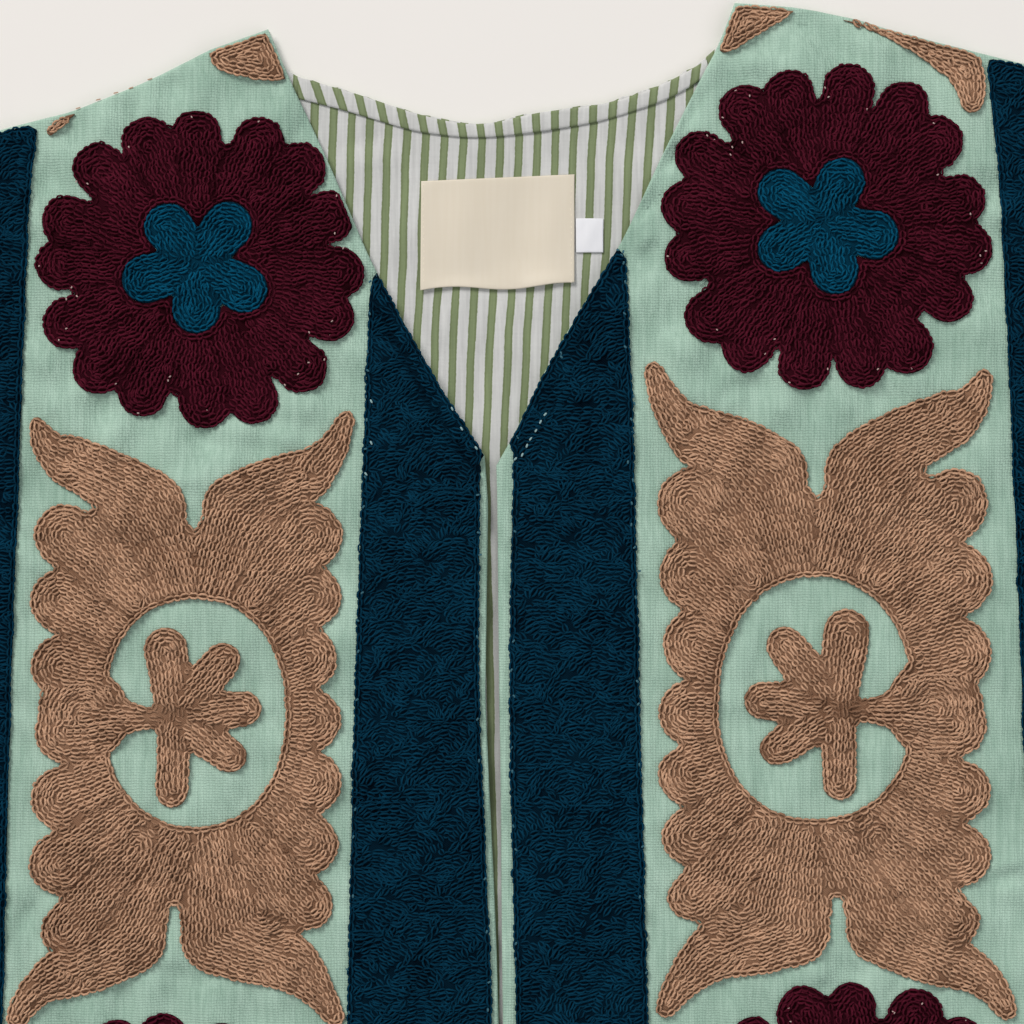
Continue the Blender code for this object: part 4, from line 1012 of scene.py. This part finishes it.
def stitching(name, node, rows, row, link, floor, material, seed, arm=ARM, sides=4, stray=0.2,
              loops=None, rims=(0.35, 0.35), furrow=None, pad_shade_tone=0.35, folded=None):
    """Embroidery in the place of a frame solid: a thin pad of yarn, and on it every link of chain stitch.

    floor gives the height of the cloth, and of what it carries, under each point. arm is the shape of one
    arm of a link, and sides are the points round it. loops are the pad's outlines, or the node's own, and
    rims are how far the pad is drawn in from its outer edge and from its holes. furrow falls from one
    towards nothing along a furrow, where the stitches are lowered and darkened as painted shade.
    pad_shade_tone is how pale the pad is, kept low as painted shade between the links, and folded is true
    where the pad bends with a fold.
    """
    rng = np.random.default_rng(seed)
    links = links_on(rows, link, rng, stray)
    count = len(links)
    start, end, beyond = (links[:, k] for k in range(3))
    steps = np.array(arm["along"])
    first = np.clip(steps, None, 1)[None, :, None]
    second = np.clip(steps - 1, 0, None)[None, :, None]
    spine = start[:, None] + first * (end - start)[:, None] + second * (beyond - end)[:, None]
    heading = unit((end - start)[:, None] * (1 - 0.5 * first) + (beyond - end)[:, None] * 0.5 * first)
    beside = np.stack([-heading[..., 1], heading[..., 0]], axis=-1)
    ground = floor(spine)
    open_share = np.ones((count, 1)) if furrow is None else furrow((start + end) / 2)[:, None]
    tall = (STITCH_PILE - STRAND * row) * (1 + rng.normal(0, 0.07, (count, 1)))
    tall = tall * lessened(open_share, FURROW_PILE)
    wide = row * (1 + rng.normal(0, 0.05, (count, 1)))
    thick = STRAND * row * (1 + rng.normal(0, 0.08, (count, 1))) * np.array(arm["thick"])
    angles = np.radians(np.linspace(-15, 195, sides))
    tone = np.clip(0.5 + rng.normal(0, 0.22, (count, 1)) + rng.normal(0, 0.18, (count, 2)), 0, 1)
    # Painted shade: stitches darken along furrows and grooves.
    tone *= lessened(open_share, FURROW_SHADE_TONE)
    points = []
    for hand in (-1, 1):
        bulge = wide * (1 + rng.normal(0, 0.16, (count, 1))) * np.array(arm["across"])
        middle = spine + hand * bulge[..., None] * beside
        rise = tall * (1 + rng.normal(0, 0.08, (count, 1))) * np.array(arm["up"])
        middle = np.concatenate([middle, (ground + rise)[..., None]], axis=-1)
        forward = unit(np.gradient(middle, axis=1))
        out = unit(np.stack([forward[..., 1], -forward[..., 0], np.zeros(forward.shape[:-1])], axis=-1))
        up = np.cross(out, forward)
        up = up * np.sign(up[..., 2:] + 1e-9)
        points.append(np.stack([middle + thick[..., None] * (math.cos(a) * out + math.sin(a) * up)
                                for a in angles], axis=2))
    points = np.stack(points, axis=1)
    length = len(steps)
    per_arm = length * sides
    corner = np.arange(count * 2)[:, None, None] * per_arm
    i, j = np.meshgrid(np.arange(length - 1), np.arange(sides - 1), indexing="ij")
    quad = np.stack([i * sides + j, i * sides + j + 1, (i + 1) * sides + j + 1, (i + 1) * sides + j], axis=-1)
    quads = (corner + quad.reshape(1, -1, 4)).reshape(-1, 4)
    tones = np.repeat(tone.reshape(-1), per_arm)
    # Painted light: each strand is lighter along its top and where its arm rises, and darker low down.
    high = np.clip(np.sin(angles), 0, 1)
    lifts = (np.array(arm["up"])[:, None] ** 1.5 * (0.25 + 0.75 * high)[None, :]).reshape(-1)
    kept_lift = np.repeat(lessened(open_share, FURROW_SHADE_LIFT), 2, axis=1).reshape(-1, 1)
    lifts = (kept_lift * lifts[None, :]).reshape(-1)
    shift = rng.uniform(0, 50, count * 2)
    run = (steps * link)[:, None] + np.zeros(sides)
    girth = np.zeros(length)[:, None] + STRAND * row * angles
    laid = np.stack([run, girth], axis=-1).reshape(1, -1, 2) + np.stack([shift, 0 * shift], axis=-1)[:, None]
    laid = laid.reshape(-1, 2)
    points = points.reshape(-1, 3)

    offset = len(points)
    outer = [refined(loop, PAD_LINE, CORNER) for loop in loops or outlines(node)]
    loops = [drawn_in(loop, rims[k > 0]) for k, loop in enumerate(outer)]
    spots = spread(loops[0].min(axis=0), loops[0].max(axis=0), PAD_STEP)
    spots = spots[depth_in(spots, loops) > 0.3 * PAD_STEP]
    if folded is not None:
        close = spread(loops[0].min(axis=0), loops[0].max(axis=0), FOLDED_PAD_STEP)
        close = close[folded(close) & (depth_in(close, loops) > 0.5 * FOLDED_PAD_STEP)]
        spots = np.vstack([spots[~folded(spots)], close])
    flat, pad, _ = triangulated(loops, spots)
    middles = flat[pad].mean(axis=1)
    pad = pad[within(middles, loops) & (depth_in(middles, outer[:1]) > 0.95 * rims[0])]
    ground = floor(flat)
    pad_points = np.vstack([np.column_stack([flat, ground + PAD]), np.column_stack([flat, ground + PAD_GAP])])
    size = len(flat)
    faces = quads.tolist() + (pad + offset).tolist() + (pad[:, ::-1] + offset + size).tolist()
    directed = {(int(a), int(b)) for face in pad for a, b in zip(face, np.roll(face, -1))}
    for a, b in sorted(directed):
        if (b, a) not in directed:
            faces.append((a + offset + size, b + offset + size, b + offset, a + offset))
    everything = np.vstack([points, pad_points])

    mesh = bpy.data.meshes.new(name)
    mesh.from_pydata((everything * MM).tolist(), [], faces)
    mesh.shade_smooth()
    mesh.materials.append(material)
    # Painted shade: the pad is dark and low in light, as shade between the links.
    values = np.concatenate([tones, np.full(len(pad_points), pad_shade_tone)])
    mesh.attributes.new("tone", "FLOAT", "POINT").data.foreach_set("value", values)
    values = np.concatenate([lifts, np.full(len(pad_points), PAD_SHADE_LIFT)])
    mesh.attributes.new("lift", "FLOAT", "POINT").data.foreach_set("value", values)
    corners = np.empty(len(mesh.loops), np.int32)
    mesh.loops.foreach_get("vertex_index", corners)
    laid = np.vstack([laid, pad_points[:, :2]])
    mesh.uv_layers.new(name="strand").data.foreach_set("uv", laid[corners].ravel())
    piece = bpy.data.objects.new(name, mesh)
    bpy.context.scene.collection.objects.link(piece)
    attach(piece, "root")
    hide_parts(node)


def on_front(side):
    """What gives the height at which stitching lies on a front."""
    return lambda points: reliefs[side].at(points) + SEAM


def grid_over(loops, step):
    """Grid lines over the outlines, the points where they cross, and how deep inside each point lies."""
    low = np.min([loop.min(axis=0) for loop in loops], axis=0) - step
    high = np.max([loop.max(axis=0) for loop in loops], axis=0) + step
    xs = np.arange(low[0], high[0] + step, step)
    ys = np.arange(low[1], high[1] + step, step)
    points = np.stack(np.meshgrid(xs, ys, indexing="ij"), axis=-1)
    return xs, ys, points, depth_in(points, loops)


def arches(points, loops, pitch, rng):
    """The distance from the middle of an arch, with uneven arches laid over each other like fish scales."""
    ys = np.arange(loops[0][:, 1].max() + 0.5 * pitch, loops[0][:, 1].min() - pitch, -0.5 * pitch)
    nearest = np.full(points.shape[:-1], np.inf)
    field = np.zeros(points.shape[:-1])
    for k, y in enumerate(ys):
        level = y + rng.normal(0, 1.2)
        near = np.abs(points[0, :, 1] - level).argmin()
        inside = within(points[:, near], loops)
        if not inside.any():
            continue
        across = points[inside, near, 0]
        wide = across.max() - across.min()
        for column in range(round(wide / (ARCH_SPACING * pitch)) + 1):
            x = across.min() + (column + 0.5 * (k % 2)) * ARCH_SPACING * pitch + rng.normal(0, 2.0)
            turn = rng.normal(0, 0.5)
            squash = rng.uniform(*ARCH_SQUASH)
            off = points - np.array([x, level])
            long_way = off[..., 0] * math.cos(turn) + off[..., 1] * math.sin(turn)
            short_way = off[..., 1] * math.cos(turn) - off[..., 0] * math.sin(turn)
            away = np.hypot(long_way / squash, short_way)
            covered = away < pitch * rng.uniform(*ARCH_COVER)
            field = np.where(covered | (nearest > away) & (nearest > pitch), away, field)
            nearest = np.where(covered, 0, np.minimum(nearest, away))
    return field


def to_neck(loops, neck):
    """Outlines brought out to the neck edge where they run near it, as the stitching runs round the fold."""
    moved = []
    for loop in loops:
        loop = refined(loop, PAD_LINE, CORNER)
        best = np.full(len(loop), NECK_REACH)
        target = loop.copy()
        for start, end in zip(neck[:-1], neck[1:]):
            along = end - start
            share = np.clip(((loop - start) @ along) / (along @ along), 0, 1)
            nearest = start + share[:, None] * along
            away = np.linalg.norm(loop - nearest, axis=1)
            target[away < best] = nearest[away < best]
            best = np.minimum(best, away)
        moved.append(target)
    return moved


teal_yarn = yarn_finish("teal_yarn", TEAL_DARK, TEAL_LIGHT)
for side in ("right", "left"):
    neck = np.array(NECK_EDGES[side])

    def band_floor(points, side=side, neck=neck):
        return on_front(side)(points) + np.interp(distance_to(points, neck), *ROLLS[side])

    def groove(points, side=side, neck=neck):
        place, width, strength = GROOVES[side]
        return 1 - strength * np.exp(-((distance_to(points, neck) - place) / width) ** 2)

    def at_neck(points, neck=neck):
        return distance_to(points, neck) < FOLD_REACH

    for part, seed in BAND_SEEDS.items():
        node = part + side
        loops = to_neck(outlines(node), neck)
        xs, ys, points, depth = grid_over(loops, GRID_STEP)
        field = arches(strayed(points, 0.8, 6.0), loops, ARCH_PITCH, np.random.default_rng(seed))
        rows = stitch_rows(points, depth, field, BAND_ROW, BAND_LINK, xs, ys)
        at_fold = part == "front_band_"
        floor = band_floor if at_fold else on_front(side)
        stitching(node + "_stitches", node, rows, BAND_ROW, BAND_LINK, floor, teal_yarn, seed,
                  ARM_COARSE, 3, BAND_STRAY, loops, furrow=groove if at_fold else None,
                  pad_shade_tone=BAND_PAD_SHADE_TONE, folded=at_neck if at_fold else None)


# The stray stitches of the hand finishing: dots where the band's thread catches the light along its
# edges, topstitches that hold the folded neck edges, and ends of tan thread at the right shoulder seam.
CATCH_COLOUR = (0.040, 0.150, 0.200)
CATCH_SPACING = 11.0
CATCH_SHARE = 0.55
CATCH_INSET = 1.1
TOPSTITCH_COLOUR = (0.34, 0.52, 0.53)
TOPSTITCHES = {
    "left": [(14.9, 138.9), (12.8, 135.5), (10.8, 131.7), (8.4, 127.9), (6.7, 124.8), (4.6, 120.7),
             (1.5, 118.9)],
    "right": [(-26.8, 141.3), (-22.6, 132.4), (-16.1, 123.8), (-63.3, 144.8), (-63.3, 126.1), (-65.7, 112.1)],
}
TOPSTITCH_TURNS = {"left": 58.0, "right": 118.0}
SHOULDER_COLOUR = (0.62, 0.40, 0.27)
SHOULDER_STITCHES = [(-178.6, 284.0), (-171.9, 286.3), (-163.4, 290.3), (-186.5, 280.9), (-195.8, 277.2)]
SHOULDER_TURN = 24.0


def speck_thread(name, colour):
    """Fine thread of one colour for single stitches."""
    made, tree, shader = finish(name, 0.85)
    shine = add(tree, "ShaderNodeTexNoise", {"Scale": 700.0, "Detail": 1.0})
    darkened = tuple(0.72 * part for part in colour)
    tree.links.new(blended(tree, shine.outputs["Fac"], (*darkened, 1), (*colour, 1)), shader.inputs["Base Color"])
    return made


catch_thread = speck_thread("catch_thread", CATCH_COLOUR)
rng = np.random.default_rng(71)
for side in ("right", "left"):
    loop = refined(outlines("front_band_" + side)[0], CATCH_SPACING, 180.0)
    loop = drawn_in(loop, CATCH_INSET)[rng.random(len(loop)) < CATCH_SHARE]
    loop = loop + rng.normal(0, 0.8, loop.shape)
    heights = reliefs[side].at(loop) + STITCH_PILE
    dashes("catch_stitches_" + side, loop, rng.normal(math.pi / 2, 0.7, len(loop)), 1.8, 0.85, heights,
           catch_thread)
topstitch_thread = speck_thread("topstitch_thread", TOPSTITCH_COLOUR)
for side, places in TOPSTITCHES.items():
    spots = np.array(places)
    headings = math.radians(TOPSTITCH_TURNS[side]) + rng.normal(0, 0.12, len(spots))
    roll = np.interp(distance_to(spots, np.array(NECK_EDGES[side])), *ROLLS[side])
    heights = reliefs[side].at(spots) + STITCH_PILE + 0.2 + roll
    dashes("neck_topstitches_" + side, spots, headings, 2.0, 0.8, heights, topstitch_thread)
spots = np.array(SHOULDER_STITCHES)
headings = math.radians(SHOULDER_TURN) + rng.normal(0, 0.15, len(spots))
dashes("shoulder_thread_ends", spots, headings, 2.6, 0.6, reliefs["right"].at(spots) - 0.1,
       speck_thread("tan_thread", SHOULDER_COLOUR))


# The rosettes and the flowers in their middles: rounded petals of maroon wool round five petals of blue.
# The rows follow each petal's edge and close in on its middle, and the flower fills the ring's hole.
ROSETTE_ROW = 3.0
ROSETTE_LINK = 3.6
ROSETTE_RIMS = (0.35, -0.3)
ROSETTE_SEED = 31
MOTIF_LINE = 1.5
MOTIF_STRAY = 0.3
PETALS = 16
PETAL_REACH = 74.5
PETAL_TIP = 11.8
PETAL_ROOT = 8.0
PETAL_BASE = 26.0
PETAL_SWAY = 2.0
FLOWER_ROW = 2.8
FLOWER_RIMS = (-0.25, -0.25)
FLOWER_SEED = 41
FLOWER_PETALS = 5
FLOWER_REACH = 33.0
FLOWER_TIP = 10.6
FLOWER_ROOT = 8.5
FLOWER_SHIFT = (-1.5, 2.0)
FLOWER_SWAY = 6.0
FURROW = 2.6
FURROW_FLOOR = 0.25
SPECKS = 26
SPECK_SEED = 81
SPECK_COLOUR = (0.62, 0.43, 0.40)
MAROON_DARK = (0.0040, 0.0006, 0.0010)
MAROON_LIGHT = (0.098, 0.0100, 0.0235)
BLUE_DARK = (0.0006, 0.0065, 0.0130)
BLUE_LIGHT = (0.0030, 0.088, 0.168)
Rosette = namedtuple("Rosette", "side row x y width height petal_turn flower_turn")
ROSETTES = [
    Rosette("right", "upper", -140.5, 204.5, 1.02, 0.98, 0.0, 122.0),
    Rosette("left", "upper", 141.0, 222.8, 1.02, 1.01, -9.0, 137.0),
    Rosette("right", "lower", -152.0, -204.0, 1.0, 1.0, 3.0, 118.0),
    Rosette("left", "lower", 155.0, -190.0, 1.03, 1.02, 0.0, 132.0),
]
# A lobe is swept by discs from its base, round its bend, to its tip.
Lobe = namedtuple("Lobe", "base bend tip base_radius tip_radius fullness")


def off_middles(points, lobes):
    """How far each point is from the middle line of each lobe, as if the lobe were as wide all along."""
    found = []
    for lobe in lobes:
        base, bend, tip = (np.array(p, float) for p in lobe[:3])
        t = np.linspace(0, 1, 4 + round(np.linalg.norm(tip - base) / 1.6))[:, None]
        line = (1 - t) ** 2 * base + 2 * (1 - t) * t * bend + t**2 * tip
        radius = lobe.base_radius + (lobe.tip_radius - lobe.base_radius) * t[:, 0] ** lobe.fullness
        best = np.full(points.shape[:-1], np.inf)
        for centre, reach in zip(line, radius):
            off = points - centre
            best = np.minimum(best, np.hypot(off[..., 0], off[..., 1]) / reach)
        found.append(best * radius.mean())
    return np.array(found)


def off_middle(points, lobes):
    """How far each point is from the middle line of its nearest lobe, so that rows run round the lobes."""
    return off_middles(points, lobes).min(axis=0)


def from_furrow(points, shapes):
    """A low share where two shapes of one or more lobes meet, rising to one a little way off."""
    nearest = np.partition([off_middle(points, lobes) for lobes in shapes], 1, axis=0)
    return np.clip((nearest[1] - nearest[0]) / FURROW, FURROW_FLOOR, 1)


def straight_lobe(base, tip, base_radius, tip_radius):
    """A lobe with no bend."""
    middle = ((base[0] + tip[0]) / 2, (base[1] + tip[1]) / 2)
    return Lobe(base, middle, tip, base_radius, tip_radius, 1.0)


def rosette_lobes(rosette):
    """The petals of one rosette, each a little uneven as they are by hand."""
    lobes = []
    for k in range(PETALS):
        sway = PETAL_SWAY * math.sin(2.4 * k + rosette.x)
        turn = math.radians(360 / PETALS * k + rosette.petal_turn + sway)
        reach = PETAL_REACH * (1 + 0.022 * math.sin(1.7 * k + rosette.x)) - PETAL_TIP
        radius = PETAL_TIP * (1 + 0.05 * math.sin(3.1 * k + rosette.y))
        base = (rosette.x + PETAL_BASE * math.cos(turn), rosette.y + PETAL_BASE * math.sin(turn))
        tip = (rosette.x + rosette.width * reach * math.cos(turn),
               rosette.y + rosette.height * reach * math.sin(turn))
        lobes.append(straight_lobe(base, tip, PETAL_ROOT, radius))
    return lobes


def flower_lobes(rosette):
    """The petals of the flower in a rosette's middle."""
    lobes = []
    centre = (rosette.x + FLOWER_SHIFT[0], rosette.y + FLOWER_SHIFT[1])
    for k in range(FLOWER_PETALS):
        sway = FLOWER_SWAY * math.sin(2.0 * k + 1)
        turn = math.radians(rosette.flower_turn - 360 / FLOWER_PETALS * k + sway)
        reach = FLOWER_REACH * (1 + 0.06 * math.sin(2.3 * k + rosette.x)) - FLOWER_TIP
        tip = (centre[0] + reach * math.cos(turn), centre[1] + reach * math.sin(turn))
        lobes.append(straight_lobe(centre, tip, FLOWER_ROOT, FLOWER_TIP))
    return lobes


def motif(node, side, lobes, row, link, material, seed, arm, rims):
    """One embroidered motif, with rows that follow its lobes and furrows between them."""
    loops = [refined(loop, MOTIF_LINE, CORNER) for loop in outlines(node)]
    xs, ys, points, depth = grid_over(loops, GRID_STEP)
    field = off_middle(strayed(points, 1.0, 6.0), lobes)
    rows = stitch_rows(points, depth, field, row, link, xs, ys)
    shapes = [[lobe] for lobe in lobes]
    stitching(node + "_stitches", node, rows, row, link, on_front(side), material, seed, arm,
              stray=MOTIF_STRAY, rims=rims, furrow=lambda points: from_furrow(points, shapes))


maroon_yarn = yarn_finish("maroon_yarn", MAROON_DARK, MAROON_LIGHT)
blue_yarn = yarn_finish("blue_yarn", BLUE_DARK, BLUE_LIGHT)
speck_wool = speck_thread("speck_wool", SPECK_COLOUR)
for k, rosette in enumerate(ROSETTES):
    place = "_" + rosette.side + "_" + rosette.row
    motif("rosette" + place, rosette.side, rosette_lobes(rosette), ROSETTE_ROW, ROSETTE_LINK, maroon_yarn,
          ROSETTE_SEED + k, ARM_COARSE, ROSETTE_RIMS)
    motif("flower" + place, rosette.side, flower_lobes(rosette), FLOWER_ROW, ROSETTE_LINK, blue_yarn,
          FLOWER_SEED + k, ARM, FLOWER_RIMS)
    rng = np.random.default_rng(SPECK_SEED + k)
    edge = drawn_in(refined(outlines("rosette" + place)[0], 3.0, 180.0), 1.6)
    spots = edge[rng.choice(len(edge), SPECKS, replace=False)]
    inward = (np.array([rosette.x, rosette.y]) - spots) * rng.uniform(0, 0.35, (SPECKS, 1)) ** 2
    spots = spots + inward + rng.normal(0, 0.7, spots.shape)
    dashes("specks" + place, spots, rng.uniform(0, math.pi, SPECKS), 1.2, 0.6,
           reliefs[rosette.side].at(spots) + STITCH_PILE - 0.1, speck_wool)


# The medallions: tan wool in chain stitch, an oval ring with scallops down its sides, horns above and
# below, and a palmette on a stem within. The rows run round each scallop and along each horn.
TAN_ROW = 2.9
TAN_LINK = 3.85
MEDALLION_RIMS = (0.75, 0.35)
MEDALLION_SEED = 51
TAN_DARK = (0.105, 0.043, 0.021)
TAN_LIGHT = (0.690, 0.415, 0.265)
Medallion = namedtuple("Medallion", "side x y width up down")
MEDALLIONS = [
    Medallion("right", -142.7, 4.6, 1.0, 1.0, 1.0),
    Medallion("left", 136.5, 7.5, -1.07, 1.14, 0.99),
]
SCALLOPS = 7
SCALLOP_TOP = 80.0
SCALLOP_PITCH = 28.7
SCALLOP_UNEVEN = 0.9
SCALLOP_REACH = 55.5
SCALLOP_SHIFT = -4.0
SCALLOP_BASE = 26.0
SCALLOP_LEAN = 0.62
SCALLOP_TIP = 14.2
SCALLOP_ROOT = 9.0
LAST_SCALLOP = 0.78
PALMETTE_HUB = (-9.4, -1.2)
PalmetteLobe = namedtuple("PalmetteLobe", "turn reach root tip")
PALMETTE = [
    PalmetteLobe(97.0, 30.2, 7.5, 10.0),
    PalmetteLobe(48.5, 33.5, 10.0, 8.0),
    PalmetteLobe(5.5, 31.6, 10.5, 8.0),
    PalmetteLobe(-35.5, 31.2, 10.0, 7.7),
    PalmetteLobe(-91.5, 34.4, 7.5, 7.3),
]
# Each horn is a full body and a slim tail, and its rows run on towards the ring's hole.
HORNS = [
    Lobe((-20, 92), (-33, 104), (-57, 113.5), 16.5, 11.5, 1.0),
    Lobe((-59, 114.5), (-68, 119), (-71, 130), 10.0, 3.8, 1.0),
    Lobe((18.5, 92), (32, 101), (50, 107), 15.5, 12.0, 1.0),
    Lobe((54, 110), (63, 117), (68, 132.5), 10.0, 4.2, 1.0),
    Lobe((-29, -101), (-46, -113), (-61, -118), 16.5, 11.0, 1.0),
    Lobe((-60, -118), (-73, -122), (-80.5, -138), 11.0, 4.8, 1.0),
    Lobe((11, -101), (24, -107), (42, -111.5), 17.5, 13.0, 1.0),
    Lobe((42, -112), (53, -119), (63, -137.5), 13.0, 4.6, 1.0),
]
RUN_ONS = [
    Lobe((-5, 54), (-10, 74), (-20, 92), 11.0, 16.5, 1.0),
    Lobe((7, 54), (10, 74), (18.5, 92), 11.0, 15.5, 1.0),
    Lobe((-7, -56), (-16, -78), (-29, -101), 12.0, 16.5, 1.0),
    Lobe((5, -56), (9, -78), (11, -101), 12.0, 17.5, 1.0),
]
STEM = Lobe((-50, -1), (-34, -2), (-15, -2.5), 21.0, 3.6, 0.45)


def scallop_lobes():
    """The rounded lobes down both sides of a medallion, fanned out from its ring."""
    lobes = []
    for k in range(SCALLOPS):
        for hand in (-1, 1):
            y = SCALLOP_TOP - (SCALLOP_PITCH - SCALLOP_UNEVEN * hand) * k
            reach = SCALLOP_REACH + 1.2 * math.sin(1.9 * k + hand)
            radius = SCALLOP_TIP * (LAST_SCALLOP if k == SCALLOPS - 1 else 1)
            base = (hand * SCALLOP_BASE, SCALLOP_LEAN * y)
            tip = (hand * reach + SCALLOP_SHIFT, y)
            lobe = straight_lobe(base, tip, SCALLOP_ROOT, radius)
            lobes.append(lobe._replace(fullness=0.7))
    return lobes


def palmette_lobes():
    """The lobes that fan out from the palmette's hub."""
    lobes = []
    for row in PALMETTE:
        turn = math.radians(row.turn)
        tip = (PALMETTE_HUB[0] + row.reach * math.cos(turn), PALMETTE_HUB[1] + row.reach * math.sin(turn))
        lobes.append(straight_lobe(PALMETTE_HUB, tip, row.root, row.tip))
    return lobes


def on_medallion(points, medallion):
    """Points as they lie on a medallion of even size about its middle."""
    local = points - (medallion.x, medallion.y)
    tall = np.where(local[..., 1] > 0, medallion.up, medallion.down)
    return local / np.stack([np.full(tall.shape, medallion.width), tall], axis=-1)


tan_yarn = yarn_finish("tan_yarn", TAN_DARK, TAN_LIGHT)
medallion_lobes = scallop_lobes() + HORNS + RUN_ONS + palmette_lobes() + [STEM]
medallion_shapes = [[lobe] for lobe in scallop_lobes() + palmette_lobes()]
medallion_shapes += [HORNS[2 * k:2 * k + 2] + RUN_ONS[k:k + 1] for k in range(len(RUN_ONS))]
for k, medallion in enumerate(MEDALLIONS):
    node = "medallion_" + medallion.side
    loops = [refined(loop, MOTIF_LINE, CORNER) for loop in outlines(node)]
    xs, ys, points, depth = grid_over(loops, GRID_STEP)
    field = off_middle(strayed(on_medallion(points, medallion), 0.5, 8.0), medallion_lobes)
    rows = stitch_rows(points, depth, field, TAN_ROW, TAN_LINK, xs, ys)

    def between_lobes(points, medallion=medallion):
        return from_furrow(on_medallion(points, medallion), medallion_shapes)

    stitching(node + "_stitches", node, rows, TAN_ROW, TAN_LINK, on_front(medallion.side), tan_yarn,
              MEDALLION_SEED + k, ARM_COARSE, rims=MEDALLION_RIMS, furrow=between_lobes)


# The leaves that the neck and shoulder seams cut through, in the same tan wool. The rows run round each
# leaf and close in on its middle.
LEAVES = ("neck_leaf_right", "neck_leaf_left", "shoulder_leaf_right", "shoulder_leaf_left")
LEAF_GRID_STEP = 0.8
LEAF_FILL_DEPTH = 0.28
LEAF_RIMS = (0.7, 0.35)
LEAF_SEED = 61
for k, node in enumerate(LEAVES):
    loops = [refined(loop, MOTIF_LINE, CORNER) for loop in outlines(node)]
    xs, ys, points, depth = grid_over(loops, LEAF_GRID_STEP)
    rows = stitch_rows(points, depth, depth, TAN_ROW, TAN_LINK, xs, ys, LEAF_FILL_DEPTH)
    side = node.rsplit("_", 1)[1]
    stitching(node + "_stitches", node, rows, TAN_ROW, TAN_LINK, on_front(side), tan_yarn,
              LEAF_SEED + k, rims=LEAF_RIMS)
